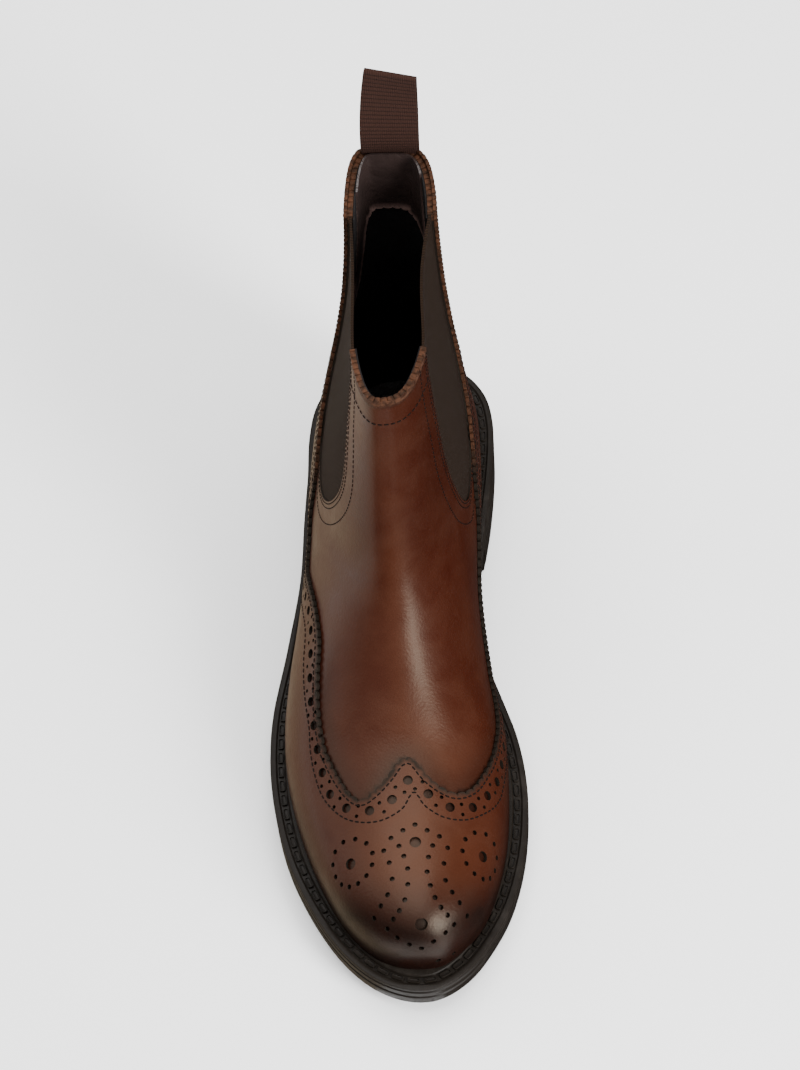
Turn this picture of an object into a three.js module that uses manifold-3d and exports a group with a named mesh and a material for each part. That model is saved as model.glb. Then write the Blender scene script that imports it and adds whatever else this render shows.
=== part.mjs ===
// A right-foot brogue ankle boot with elastic side panels, as an assembly of separate solids.
// Millimetres. The floor is z = 0, the toe points to -Y and the inner side of the foot is +X.
import * as THREE from "three";
import { mergeVertices } from "three/addons/utils/BufferGeometryUtils.js";
import Module from "manifold-3d";

const wasm = await Module();
wasm.setup();

// Sole sizes.
const soleLength = 282;
const ballWidth = 102;
const heelBlockHeight = 14;
const topPieceHeight = 6;
const outsoleThickness = 6.5;
const midsoleThickness = 4;
const weltThickness = 3.2;
const toeSpring = 8;
const edgeGroove = 0.7;
const edgeBevel = 1.8;
const treadDepth = 2.4;
const treadGroove = 3;
const treadPitch = 10.5;
const treadMargin = 9;
const rimWidth = 2.2;
const rimDrop = 0.7;
const channelWidth = 2.8;
const channelDrop = 1.3;

// Upper sizes.
const upperRise = 156;
const toeBoxHeight = 34;
const wall = 2;
const overlayThickness = 1.2;
const goreThickness = 1;
const goreRecess = 0.7;
const outerPinch = 1.2;
const innerPinch = 3.2;
const insoleThickness = 3;

// Pull loop sizes.
const loopWidth = 22;
const loopHeight = 43;
const tapeThickness = 1.1;
const loopBow = 3.4;
const loopTwist = 0.25;
const loopLean = 2;

// The gap left between pieces that touch.
const seam = 0.3;

// The plan outline of the outsole, from the heel's back round the outer side, the toe and the inner side.
// along is a share of soleLength from the heel's back, across a share of ballWidth towards the inner side.
const soleOutline = [
  { along: 0.0, across: 0.007 },
  { along: 0.009, across: -0.143 },
  { along: 0.034, across: -0.265 },
  { along: 0.077, across: -0.339 },
  { along: 0.135, across: -0.367 },
  { along: 0.205, across: -0.369 },
  { along: 0.28, across: -0.379 },
  { along: 0.365, across: -0.393 },
  { along: 0.455, across: -0.441 },
  { along: 0.55, across: -0.492 },
  { along: 0.632, across: -0.502 },
  { along: 0.71, across: -0.479 },
  { along: 0.79, across: -0.423 },
  { along: 0.865, across: -0.33 },
  { along: 0.93, across: -0.218 },
  { along: 0.975, across: -0.096 },
  { along: 0.998, across: 0.037 },
  { along: 0.996, across: 0.162 },
  { along: 0.965, across: 0.279 },
  { along: 0.915, across: 0.371 },
  { along: 0.86, across: 0.439 },
  { along: 0.79, across: 0.486 },
  { along: 0.72, across: 0.503 },
  { along: 0.66, across: 0.494 },
  { along: 0.6, across: 0.462 },
  { along: 0.545, across: 0.411 },
  { along: 0.475, across: 0.345 },
  { along: 0.4, across: 0.317 },
  { along: 0.325, across: 0.335 },
  { along: 0.25, across: 0.365 },
  { along: 0.175, across: 0.383 },
  { along: 0.115, across: 0.383 },
  { along: 0.065, across: 0.351 },
  { along: 0.026, across: 0.269 },
  { along: 0.006, across: 0.147 },
];

// The sections of the last and shaft, from the toe tip to above the collar. Each lies in the plane through
// its back point and its front point, square to the boot's side view.
// backAlong and frontAlong are shares of soleLength from the heel's back.
// backDrop and frontToe are heights over the seat in toe box heights, backRise and frontRise add upper rises.
const spine = [
  { backAlong: 0.964, backDrop: 0.2, backRise: 0, frontAlong: 0.964, frontToe: 0.22, frontRise: 0 },
  { backAlong: 0.959, backDrop: -0.2, backRise: 0, frontAlong: 0.959, frontToe: 0.5, frontRise: 0 },
  { backAlong: 0.942, backDrop: -0.38, backRise: 0, frontAlong: 0.944, frontToe: 0.75, frontRise: 0 },
  { backAlong: 0.905, backDrop: -0.4, backRise: 0, frontAlong: 0.909, frontToe: 0.92, frontRise: 0 },
  { backAlong: 0.85, backDrop: -0.4, backRise: 0, frontAlong: 0.853, frontToe: 1.02, frontRise: 0 },
  { backAlong: 0.775, backDrop: -0.4, backRise: 0, frontAlong: 0.783, frontToe: 1.13, frontRise: 0 },
  { backAlong: 0.69, backDrop: -0.4, backRise: 0, frontAlong: 0.705, frontToe: 1.3, frontRise: 0 },
  { backAlong: 0.59, backDrop: -0.4, backRise: 0, frontAlong: 0.65, frontToe: 1.52, frontRise: 0 },
  { backAlong: 0.475, backDrop: -0.38, backRise: 0, frontAlong: 0.607, frontToe: 1.76, frontRise: 0 },
  { backAlong: 0.35, backDrop: -0.36, backRise: 0, frontAlong: 0.575, frontToe: 2, frontRise: 0 },
  { backAlong: 0.22, backDrop: -0.34, backRise: 0, frontAlong: 0.55, frontToe: 2.22, frontRise: 0 },
  { backAlong: 0.105, backDrop: -0.28, backRise: 0, frontAlong: 0.532, frontToe: 2.42, frontRise: 0 },
  { backAlong: 0.036, backDrop: -0.1, backRise: 0, frontAlong: 0.517, frontToe: 2.62, frontRise: 0 },
  { backAlong: 0.024, backDrop: 0.2, backRise: 0.02, frontAlong: 0.502, frontToe: 2.85, frontRise: 0 },
  { backAlong: 0.021, backDrop: 0.3, backRise: 0.12, frontAlong: 0.488, frontToe: 3, frontRise: 0.025 },
  { backAlong: 0.027, backDrop: 0.3, backRise: 0.28, frontAlong: 0.474, frontToe: 3, frontRise: 0.09 },
  { backAlong: 0.036, backDrop: 0.3, backRise: 0.44, frontAlong: 0.461, frontToe: 3, frontRise: 0.155 },
  { backAlong: 0.042, backDrop: 0.3, backRise: 0.61, frontAlong: 0.45, frontToe: 3, frontRise: 0.22 },
  { backAlong: 0.042, backDrop: 0.3, backRise: 0.78, frontAlong: 0.442, frontToe: 3, frontRise: 0.285 },
  { backAlong: 0.038, backDrop: 0.3, backRise: 0.93, frontAlong: 0.436, frontToe: 3, frontRise: 0.335 },
  { backAlong: 0.035, backDrop: 0.3, backRise: 1.04, frontAlong: 0.428, frontToe: 3, frontRise: 0.46 },
];

// The same sections across the boot.
// outer and inner are half widths as shares of ballWidth, and centre is the middle's place across.
// belly is where on the section it is widest, and low and top are the roundness of its two ends.
const girths = [
  { outer: 0, inner: 0, centre: 0.092, belly: 0.5, low: 2, top: 2 },
  { outer: 0.085, inner: 0.075, centre: 0.092, belly: 0.55, low: 2, top: 2 },
  { outer: 0.175, inner: 0.13, centre: 0.095, belly: 0.53, low: 2.4, top: 2.05 },
  { outer: 0.262, inner: 0.218, centre: 0.09, belly: 0.5, low: 3, top: 2.1 },
  { outer: 0.328, inner: 0.298, centre: 0.07, belly: 0.47, low: 3.2, top: 2.1 },
  { outer: 0.39, inner: 0.358, centre: 0.05, belly: 0.43, low: 3.4, top: 2.05 },
  { outer: 0.428, inner: 0.388, centre: 0.027, belly: 0.39, low: 3.4, top: 2 },
  { outer: 0.442, inner: 0.384, centre: 0.019, belly: 0.36, low: 3.3, top: 2 },
  { outer: 0.422, inner: 0.338, centre: 0.017, belly: 0.35, low: 3.2, top: 2 },
  { outer: 0.376, inner: 0.308, centre: 0.013, belly: 0.36, low: 3, top: 2 },
  { outer: 0.35, inner: 0.308, centre: 0.011, belly: 0.37, low: 2.8, top: 2 },
  { outer: 0.342, inner: 0.314, centre: 0.009, belly: 0.36, low: 2.5, top: 2 },
  { outer: 0.326, inner: 0.312, centre: 0.007, belly: 0.35, low: 2.35, top: 2 },
  { outer: 0.306, inner: 0.304, centre: 0.007, belly: 0.36, low: 2.2, top: 2.05 },
  { outer: 0.278, inner: 0.284, centre: 0.007, belly: 0.4, low: 2.15, top: 2.1 },
  { outer: 0.24, inner: 0.26, centre: 0.007, belly: 0.45, low: 2.4, top: 2.15 },
  { outer: 0.2, inner: 0.236, centre: 0.007, belly: 0.48, low: 2.7, top: 2.25 },
  { outer: 0.164, inner: 0.214, centre: 0.007, belly: 0.5, low: 3.1, top: 2.35 },
  { outer: 0.14, inner: 0.198, centre: 0.007, belly: 0.5, low: 3.7, top: 2.45 },
  { outer: 0.128, inner: 0.19, centre: 0.007, belly: 0.5, low: 4.4, top: 2.5 },
  { outer: 0.126, inner: 0.188, centre: 0.007, belly: 0.5, low: 4.8, top: 2.5 },
];

// The elastic panels' edges in the side view, down their fronts from above the collar and up their rear.
// rise is a share of upperRise over the heel's seat.
const outerGoreFront = [
  { along: 0.354, rise: 1.12 },
  { along: 0.356, rise: 0.98 },
  { along: 0.362, rise: 0.858 },
  { along: 0.376, rise: 0.75 },
  { along: 0.393, rise: 0.675 },
  { along: 0.406, rise: 0.61 },
  { along: 0.411, rise: 0.55 },
  { along: 0.407, rise: 0.492 },
  { along: 0.392, rise: 0.42 },
  { along: 0.372, rise: 0.36 },
  { along: 0.346, rise: 0.31 },
  { along: 0.314, rise: 0.284 },
];
const innerGoreFront = [
  { along: 0.352, rise: 1.12 },
  { along: 0.355, rise: 0.98 },
  { along: 0.362, rise: 0.858 },
  { along: 0.372, rise: 0.73 },
  { along: 0.384, rise: 0.596 },
  { along: 0.382, rise: 0.455 },
  { along: 0.366, rise: 0.34 },
  { along: 0.34, rise: 0.274 },
  { along: 0.306, rise: 0.268 },
];
const goreRearEdge = [
  { along: 0.268, rise: 0.304 },
  { along: 0.22, rise: 0.372 },
  { along: 0.178, rise: 0.48 },
  { along: 0.155, rise: 0.634 },
  { along: 0.147, rise: 0.813 },
  { along: 0.145, rise: 0.96 },
  { along: 0.144, rise: 1.12 },
];
// How far the outer panel's lower end lies forward and up, and the inner one's back and down.
const goreStaggerAlong = 0.009;
const goreStaggerRise = 0.026;

// The lower edge of the plain vamp panel in the side view, from the elastic panel's rear to the wing's flank.
const outerPanelEdge = [
  { along: 0.3, rise: 0.232 },
  { along: 0.34, rise: 0.158 },
  { along: 0.378, rise: 0.128 },
  { along: 0.415, rise: 0.146 },
  { along: 0.458, rise: 0.19 },
  { along: 0.512, rise: 0.209 },
  { along: 0.59, rise: 0.171 },
  { along: 0.65, rise: 0.138 },
  { along: 0.7, rise: 0.098 },
  { along: 0.74, rise: 0.05 },
  { along: 0.8, rise: 0 },
];
const innerPanelEdge = [
  { along: 0.3, rise: 0.2 },
  { along: 0.34, rise: 0.112 },
  { along: 0.385, rise: 0.046 },
  { along: 0.43, rise: 0.008 },
  { along: 0.5, rise: -0.016 },
  { along: 0.57, rise: -0.01 },
  { along: 0.63, rise: 0.025 },
  { along: 0.67, rise: 0.03 },
  { along: 0.73, rise: -0.01 },
  { along: 0.8, rise: -0.03 },
];

// The wing's W-shaped edge seen from above, from its outer flank to its inner flank.
const wingEdge = [
  { across: -0.279, along: 0.64 },
  { across: -0.262, along: 0.672 },
  { across: -0.237, along: 0.7 },
  { across: -0.2, along: 0.728 },
  { across: -0.157, along: 0.752 },
  { across: -0.116, along: 0.763 },
  { across: -0.07, along: 0.754 },
  { across: -0.021, along: 0.736 },
  { across: 0.016, along: 0.718 },
  { across: 0.05, along: 0.711 },
  { across: 0.084, along: 0.716 },
  { across: 0.128, along: 0.735 },
  { across: 0.181, along: 0.749 },
  { across: 0.233, along: 0.753 },
  { across: 0.288, along: 0.74 },
  { across: 0.329, along: 0.713 },
  { across: 0.364, along: 0.678 },
  { across: 0.387, along: 0.642 },
];

// The collar's edge in the side view, from behind the heel to in front of the instep.
const collarEdge = [
  { along: -0.1, rise: 1.004 },
  { along: 0.04, rise: 1.002 },
  { along: 0.15, rise: 0.986 },
  { along: 0.25, rise: 0.972 },
  { along: 0.34, rise: 0.972 },
  { along: 0.39, rise: 0.966 },
  { along: 0.435, rise: 0.952 },
  { along: 0.6, rise: 0.93 },
];

// Where the tread touches the floor, where the heel ends and where the wing's tails meet the rear quarter.
const heelBreast = 0.3;
const archStart = 0.24;
const treadStart = 0.54;
const treadEnd = 0.8;
const toeTreadEnd = 0.93;
const quarterFront = 0.37;

const yOf = (along) => soleLength * (0.5 - along);
const smooth = (low, high, x) => THREE.MathUtils.smoothstep(x, low, high);

// Smooth value of a named column at a place counted in rows.
function column(table, name, place) {
  const last = table.length - 1;
  const i = Math.min(Math.max(Math.floor(place), 0), last - 1);
  const u = place - i;
  const value = (k) => table[k][name];
  const slope = (k) => (value(Math.min(k + 1, last)) - value(Math.max(k - 1, 0))) / (k > 0 && k < last ? 2 : 1);
  const [a, b] = [value(i), value(i + 1)];
  const [p, q] = [slope(i), slope(i + 1)];
  return a + u * (p + u * (3 * (b - a) - 2 * p - q + u * (2 * (a - b) + p + q)));
}

// Height of the outsole's underside over the floor, leaving out the heel.
const heelHeight = heelBlockHeight + topPieceHeight + 2 * seam;
const springPower = 1.6;
function treadHeight(along) {
  const arch = heelHeight * (1 - smooth(archStart, treadStart, along));
  const lift = Math.max(0, (along - treadEnd) / (1 - treadEnd));
  return arch + toeSpring * lift ** springPower;
}
const level = (lift) => (along) => treadHeight(along) + lift;
const midsoleBase = outsoleThickness + seam;
const weltBase = midsoleBase + midsoleThickness + seam;
const weltTop = weltBase + weltThickness;
const seatHeight = level(weltBase);
const sideHeight = (rise) => seatHeight(0) + upperRise * rise;

// A point of the last and shaft's skin. place counts rows of sections. turn is 0 at the back point and
// runs through the inner side to half a turn at the front point, and back through the outer side.
function skin(place, turn) {
  const along = (name) => column(spine, name, place);
  const across = (name) => column(girths, name, place);
  const backY = along("backAlong");
  const frontY = along("frontAlong");
  const backZ = seatHeight(backY) + toeBoxHeight * along("backDrop") + upperRise * along("backRise");
  const frontZ = seatHeight(frontY) + toeBoxHeight * along("frontToe") + upperRise * along("frontRise");
  const side = turn <= Math.PI ? 1 : -1;
  const angle = turn <= Math.PI ? turn : 2 * Math.PI - turn;
  const isLow = angle < Math.PI / 2;
  const power = 2 / across(isLow ? "low" : "top");
  const width = Math.abs(Math.sin(angle)) ** power;
  const rise = Math.abs(Math.cos(angle)) ** power;
  const belly = across("belly");
  const share = isLow ? belly * (1 - rise) : belly + (1 - belly) * rise;
  const reach = across(side > 0 ? "inner" : "outer");
  return new THREE.Vector3(
    ballWidth * (across("centre") + side * reach * width),
    yOf(backY + (frontY - backY) * share),
    backZ + (frontZ - backZ) * share,
  );
}

// The skin's outward direction there, by small steps along and around it.
const tipPlace = 0.02;
const probe = 0.01;
function skinNormal(place, turn) {
  if (place < tipPlace) return new THREE.Vector3(0, -1, 0);
  const last = spine.length - 1;
  const along = skin(Math.min(place + probe, last), turn).sub(skin(Math.max(place - probe, 0), turn));
  const before = (turn - probe + 2 * Math.PI) % (2 * Math.PI);
  const after = (turn + probe) % (2 * Math.PI);
  const round = skin(place, after).sub(skin(place, before));
  return along.cross(round).normalize();
}

const offsetSkin = (place, turn, grow) => skin(place, turn).addScaledVector(skinNormal(place, turn), grow);

// A closed geometry with shared vertices merged and collapsed triangles left out.
const mergeDistance = 1e-3;
function closed(geometry) {
  geometry.deleteAttribute("normal");
  geometry.deleteAttribute("uv");
  const merged = mergeVertices(geometry, mergeDistance);
  const index = merged.index.array;
  const kept = [];
  for (let i = 0; i < index.length; i += 3) {
    const [a, b, c] = [index[i], index[i + 1], index[i + 2]];
    if (a !== b && b !== c && a !== c) kept.push(a, b, c);
  }
  merged.setIndex(kept);
  return merged;
}

function geometryOf(points, triangles) {
  const geometry = new THREE.BufferGeometry();
  const positions = points.flatMap((p) => [p.x, p.y, p.z]);
  geometry.setAttribute("position", new THREE.Float32BufferAttribute(positions, 3));
  geometry.setIndex(triangles);
  return closed(geometry);
}

const solidOf = (geometry) =>
  new wasm.Manifold(
    new wasm.Mesh({
      numProp: 3,
      vertProperties: new Float32Array(geometry.attributes.position.array),
      triVerts: new Uint32Array(geometry.index.array),
    }),
  );

function geometryFrom(solid) {
  const mesh = solid.getMesh();
  const geometry = new THREE.BufferGeometry();
  const points = new Float32Array(mesh.numVert * 3);
  for (let i = 0; i < mesh.numVert; i++) {
    points.set(mesh.vertProperties.subarray(i * mesh.numProp, i * mesh.numProp + 3), i * 3);
  }
  geometry.setAttribute("position", new THREE.BufferAttribute(points, 3));
  geometry.setIndex(new THREE.BufferAttribute(mesh.triVerts, 1));
  geometry.computeVertexNormals();
  return geometry;
}

// The whole form, closed, grown or shrunk by a distance that may vary over it, with faces every footStep
// rows up to shaftPlace and every row from there.
const noseRings = 5;
const nosePower = 1.4;
const shaftPlace = 13;
const fineStep = 0.6;
const fineTurns = 36;
function lastForm(grow, footStep = fineStep, turnSteps = fineTurns) {
  const growAt = typeof grow === "function" ? grow : () => grow;
  const places = [];
  for (let i = 1; i < noseRings; i++) places.push((i / noseRings) ** nosePower);
  for (let p = 1; p < shaftPlace; p += footStep) places.push(p);
  for (let p = shaftPlace; p < spine.length; p++) places.push(p);
  const point = (place, turn) => offsetSkin(place, turn, growAt(place, turn));
  const points = [point(0, 0)];
  for (const place of places) {
    for (let j = 0; j < turnSteps; j++) points.push(point(place, (2 * Math.PI * j) / turnSteps));
  }
  const rows = places.length;
  const at = (i, j) => 1 + i * turnSteps + (j % turnSteps);
  const triangles = [];
  for (let j = 0; j < turnSteps; j++) triangles.push(0, at(0, j), at(0, j + 1));
  for (let i = 0; i < rows - 1; i++) {
    for (let j = 0; j < turnSteps; j++) {
      triangles.push(at(i, j), at(i + 1, j), at(i + 1, j + 1));
      triangles.push(at(i, j), at(i + 1, j + 1), at(i, j + 1));
    }
  }
  const top = points.slice(-turnSteps).reduce((sum, p) => sum.add(p), new THREE.Vector3());
  points.push(top.divideScalar(turnSteps));
  for (let j = 0; j < turnSteps; j++) triangles.push(at(rows - 1, j), points.length - 1, at(rows - 1, j + 1));
  return solidOf(geometryOf(points, triangles));
}

// The sole's outline, grown or shrunk.
const outlineCurve = new THREE.CatmullRomCurve3(
  soleOutline.map((p) => new THREE.Vector3(ballWidth * p.across, yOf(p.along), 0)),
  true,
);
const outlinePoints = outlineCurve.getSpacedPoints(400).slice(0, -1);
function outlineLoop(grow) {
  const count = outlinePoints.length;
  return outlinePoints.map((p, i) => {
    const ahead = outlinePoints[(i + 1) % count];
    const behind = outlinePoints[(i + count - 1) % count];
    const out = new THREE.Vector3(behind.y - ahead.y, ahead.x - behind.x, 0).normalize();
    return p.clone().addScaledVector(out, -grow);
  });
}

// Places along the sole where every layer has its points, so that layers that touch stay parallel.
const stationCount = 21;
const stations = [heelBreast];
for (let i = 1; i < stationCount; i++) stations.push((1 - Math.cos((Math.PI * i) / stationCount)) / 2);
stations.sort((a, b) => a - b);

// A ring of points round the sole: from the back down the outer side to the toe and back up the inner side.
// from and to limit it to a stretch along the sole, as shares of soleLength.
function ring(grow, height, from = 0, to = 1) {
  const loop = outlineLoop(grow);
  const ys = loop.map((p) => p.y);
  const rear = loop[ys.indexOf(Math.max(...ys))];
  const nose = loop[ys.indexOf(Math.min(...ys))];
  const crossing = (y, side) => {
    const hits = loop.flatMap((a, i) => {
      const b = loop[(i + 1) % loop.length];
      if ((a.y - y) * (b.y - y) > 0 || a.y === b.y) return [];
      return [side * (a.x + ((b.x - a.x) * (y - a.y)) / (b.y - a.y))];
    });
    if (hits.length === 0) return (y > 0 ? rear : nose).clone();
    return new THREE.Vector3(side * Math.max(...hits), y, 0);
  };
  const middle = stations.filter((share) => share > from && share < to).map(yOf);
  const start = from > 0 ? [yOf(from)] : [];
  const end = to < 1 ? [yOf(to)] : [];
  const sidePoints = (side) => [...start, ...middle, ...end].map((y) => crossing(y, side));
  const outer = sidePoints(-1);
  const inner = sidePoints(1);
  if (from === 0) outer.unshift(rear.clone());
  if (from === 0) inner.unshift(rear.clone());
  if (to === 1) outer.push(nose.clone());
  if (to === 1) inner.push(nose.clone());
  const points = [...outer, ...inner.reverse()];
  for (const p of points) p.z = height(0.5 - p.y / soleLength);
  return points;
}

// A closed solid from rings stacked upwards, with ladders of faces across the first and the last.
function stack(rings) {
  const n = rings[0].length;
  const at = (r, i) => r * n + ((i + n) % n);
  const triangles = [];
  for (let r = 0; r + 1 < rings.length; r++) {
    for (let i = 0; i < n; i++) {
      triangles.push(at(r, i), at(r, i + 1), at(r + 1, i + 1));
      triangles.push(at(r, i), at(r + 1, i + 1), at(r + 1, i));
    }
  }
  const top = rings.length - 1;
  for (let i = 0; i < n / 2 - 1; i++) {
    const j = n - 1 - i;
    triangles.push(at(0, i), at(0, j), at(0, i + 1));
    triangles.push(at(0, i + 1), at(0, j), at(0, j - 1));
    triangles.push(at(top, i), at(top, i + 1), at(top, j));
    triangles.push(at(top, i + 1), at(top, j - 1), at(top, j));
  }
  return solidOf(geometryOf(rings.flat(), triangles));
}

// A layer of the sole between two heights, with a fine groove round its upper and lower edges.
function soleLayer(base, thickness, from = 0, to = 1) {
  return stack([
    ring(-edgeGroove, level(base), from, to),
    ring(0, level(base + edgeGroove), from, to),
    ring(0, level(base + thickness - edgeGroove), from, to),
    ring(-edgeGroove, level(base + thickness), from, to),
  ]);
}

// Everything below or above a layer's surface, for cutting.
const beyond = ballWidth / 2;
const underLevel = (lift) => stack([ring(beyond, () => -beyond), ring(beyond, level(lift))]);

// The side view and the view from above as prisms, for cutting.
const sideAxes = new THREE.Matrix4().makeBasis(
  new THREE.Vector3(0, 1, 0),
  new THREE.Vector3(0, 0, 1),
  new THREE.Vector3(1, 0, 0),
);
function sidePrism(points, from, to) {
  const shape = new THREE.Shape(points);
  const geometry = new THREE.ExtrudeGeometry(shape, { depth: to - from, bevelEnabled: false });
  geometry.translate(0, 0, from).applyMatrix4(sideAxes);
  return solidOf(closed(geometry));
}
function planPrism(points, from, to) {
  const shape = new THREE.Shape(points);
  const geometry = new THREE.ExtrudeGeometry(shape, { depth: to - from, bevelEnabled: false });
  geometry.translate(0, 0, from);
  return solidOf(closed(geometry));
}
function smoothed(points, steps) {
  return new THREE.SplineCurve(points).getPoints(steps);
}
const sidePoints = (table) => table.map((row) => new THREE.Vector2(yOf(row.along), sideHeight(row.rise)));

// The same curve moved sideways, to the left of its direction.
function shifted(points, distance) {
  return points.map((p, i) => {
    const ahead = points[Math.min(i + 1, points.length - 1)];
    const behind = points[Math.max(i - 1, 0)];
    const out = new THREE.Vector2(behind.y - ahead.y, ahead.x - behind.x).normalize();
    return p.clone().addScaledVector(out, distance);
  });
}

const outerSide = 1;
const innerSide = -1;
const across = (side) => (side === outerSide ? [-ballWidth, 0] : [0, ballWidth]);
const staggered = (table, side) =>
  table.map((row) => ({
    along: row.along + side * goreStaggerAlong * (1 - row.rise),
    rise: row.rise + side * goreStaggerRise * (1 - row.rise),
  }));
const goreSteps = 36;
const goreFront = (side) => (side === outerSide ? outerGoreFront : innerGoreFront);
const goreCurve = (side) => smoothed(sidePoints(staggered([...goreFront(side), ...goreRearEdge], side)), goreSteps);
const aboveAll = sideHeight(1.5);

// The plain panel on one side: above the wing's tail, in front of the rear quarter and past the elastic panel.
function panelSide(edgeTable, side) {
  const rear = staggered(goreRearEdge, side).reverse();
  const edge = smoothed(sidePoints([...rear, ...edgeTable]), goreSteps);
  const top = [new THREE.Vector2(edge[goreSteps].x, aboveAll), new THREE.Vector2(edge[0].x, aboveAll)];
  return sidePrism([...edge, ...top], ...across(side));
}

const wingSteps = 42;
function panelFront() {
  const row = (r) => new THREE.Vector2(ballWidth * r.across, yOf(r.along));
  const edge = smoothed(wingEdge.map(row), wingSteps);
  const [first, last] = [edge[0], edge[edge.length - 1]];
  const sides = [
    new THREE.Vector2(ballWidth, last.y),
    new THREE.Vector2(ballWidth, soleLength),
    new THREE.Vector2(-ballWidth, soleLength),
    new THREE.Vector2(-ballWidth, first.y),
  ];
  return planPrism([...edge, ...sides], 0, aboveAll);
}

const plainPanel = panelSide(outerPanelEdge, outerSide)
  .add(panelSide(innerPanelEdge, innerSide))
  .intersect(panelFront());

// Everything above the collar's edge, raised by a distance.
const collarSteps = 16;
function aboveCollar(lift) {
  const edge = smoothed(sidePoints(collarEdge), collarSteps);
  for (const p of edge) p.y += lift;
  const top = [new THREE.Vector2(edge[collarSteps].x, aboveAll), new THREE.Vector2(edge[0].x, aboveAll)];
  return sidePrism([...edge, ...top], -ballWidth, ballWidth);
}

const outsideForm = lastForm(0);
const insideStep = 1;
const insideTurns = 26;
const insideForm = (grow) => lastForm(grow, insideStep, insideTurns);

function upperSolid() {
  return outsideForm
    .subtract(insideForm(-wall))
    .subtract(underLevel(weltBase))
    .subtract(aboveCollar(0))
    .subtract(sidePrism(goreCurve(outerSide), ...across(outerSide)))
    .subtract(sidePrism(goreCurve(innerSide), ...across(innerSide)));
}

// One elastic panel, recessed in its window and drawn in between its edges towards the collar.
const pinchFrom = 0.45;
function goreSolid(side, pinch) {
  const rearTop = goreRearEdge[goreRearEdge.length - 1].along;
  const frontTop = goreFront(side)[1].along;
  const drawn = (place, turn) => {
    const p = skin(place, turn);
    const share = (0.5 - p.y / soleLength - rearTop) / (frontTop - rearTop);
    const between = Math.sin(Math.PI * Math.min(Math.max(share, 0), 1));
    return pinch * between * smooth(pinchFrom, 1, (p.z - sideHeight(0)) / upperRise);
  };
  const window = sidePrism(shifted(goreCurve(side), seam), ...across(side));
  return lastForm((place, turn) => -goreRecess - drawn(place, turn))
    .subtract(lastForm((place, turn) => -goreRecess - goreThickness - drawn(place, turn)))
    .intersect(window)
    .subtract(aboveCollar(0));
}

// The overlay leather: over the upper's skin and the welt, round the plain panel.
const overlayInside = lastForm(seam);
const overlay = lastForm(seam + overlayThickness)
  .subtract(overlayInside)
  .subtract(plainPanel)
  .subtract(underLevel(weltTop + seam))
  .subtract(aboveCollar(0));
function quarterBlock(along) {
  const [rear, front] = [soleLength, yOf(along)];
  const corners = [
    new THREE.Vector2(front, 0),
    new THREE.Vector2(rear, 0),
    new THREE.Vector2(rear, aboveAll),
    new THREE.Vector2(front, aboveAll),
  ];
  return sidePrism(corners, -ballWidth, ballWidth);
}

// The welt, with a rim, a channel inside it and a raised bead up to the upper.
function weltSolid() {
  const channelEnd = rimWidth + edgeGroove + channelWidth;
  return stack([
    ring(-edgeGroove, level(weltBase)),
    ring(0, level(weltBase + edgeGroove)),
    ring(0, level(weltTop - rimDrop - edgeGroove)),
    ring(-edgeGroove, level(weltTop - rimDrop)),
    ring(-rimWidth, level(weltTop - rimDrop)),
    ring(-rimWidth - edgeGroove, level(weltTop - channelDrop)),
    ring(-channelEnd, level(weltTop - channelDrop)),
    ring(-channelEnd - edgeGroove, level(weltTop)),
  ]).subtract(overlayInside);
}

// Straight grooves across the tread between two places, inside its margin.
function treadGrooves(from, to, depth, surface) {
  const field = stack([ring(-treadMargin, () => -beyond), ring(-treadMargin, surface(depth))]);
  const count = Math.floor(((to - from) * soleLength) / treadPitch);
  let grooves = null;
  for (let i = 0; i <= count; i++) {
    const y = yOf(from) - i * treadPitch;
    const corners = [
      new THREE.Vector2(y - treadGroove / 2, -treadDepth),
      new THREE.Vector2(y + treadGroove / 2, -treadDepth),
      new THREE.Vector2(y + treadGroove / 2, outsoleThickness + toeSpring),
      new THREE.Vector2(y - treadGroove / 2, outsoleThickness + toeSpring),
    ];
    const bar = sidePrism(corners, -ballWidth, ballWidth);
    grooves = grooves ? grooves.add(bar) : bar;
  }
  return grooves.intersect(field);
}

function outsoleSolid() {
  return stack([
    ring(-edgeBevel, level(0)),
    ring(0, level(edgeBevel)),
    ring(0, level(outsoleThickness - edgeGroove)),
    ring(-edgeGroove, level(outsoleThickness)),
  ]).subtract(treadGrooves(treadStart, toeTreadEnd, treadDepth, level));
}

// The heel's block and its top piece, which is the part that wears.
const heelFoot = topPieceHeight + seam;
const flat = (height) => () => height;
function heelBlockSolid() {
  const middle = heelFoot + heelBlockHeight / 2;
  return stack([
    ring(-edgeGroove, flat(heelFoot), 0, heelBreast),
    ring(0, flat(heelFoot + edgeGroove), 0, heelBreast),
    ring(0, flat(middle - edgeGroove), 0, heelBreast),
    ring(-edgeGroove, flat(middle), 0, heelBreast),
    ring(0, level(-heelBlockHeight / 2 - seam + 2 * edgeGroove), 0, heelBreast),
    ring(0, level(-seam - edgeGroove), 0, heelBreast),
    ring(-edgeGroove, level(-seam), 0, heelBreast),
  ]);
}
function topPieceSolid() {
  const piece = stack([
    ring(-edgeBevel, flat(0), 0, heelBreast),
    ring(-edgeGroove, flat(edgeBevel), 0, heelBreast),
    ring(-edgeGroove, flat(topPieceHeight - edgeGroove), 0, heelBreast),
    ring(-edgeBevel, flat(topPieceHeight), 0, heelBreast),
  ]);
  const [first, last] = [treadMargin / soleLength, heelBreast - treadMargin / soleLength];
  return piece.subtract(treadGrooves(first, last, treadDepth, flat));
}

function insoleSolid() {
  const layer = stack([ring(0, level(weltBase)), ring(0, level(weltBase + insoleThickness))]);
  return layer.intersect(insideForm(-wall - seam));
}

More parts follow.
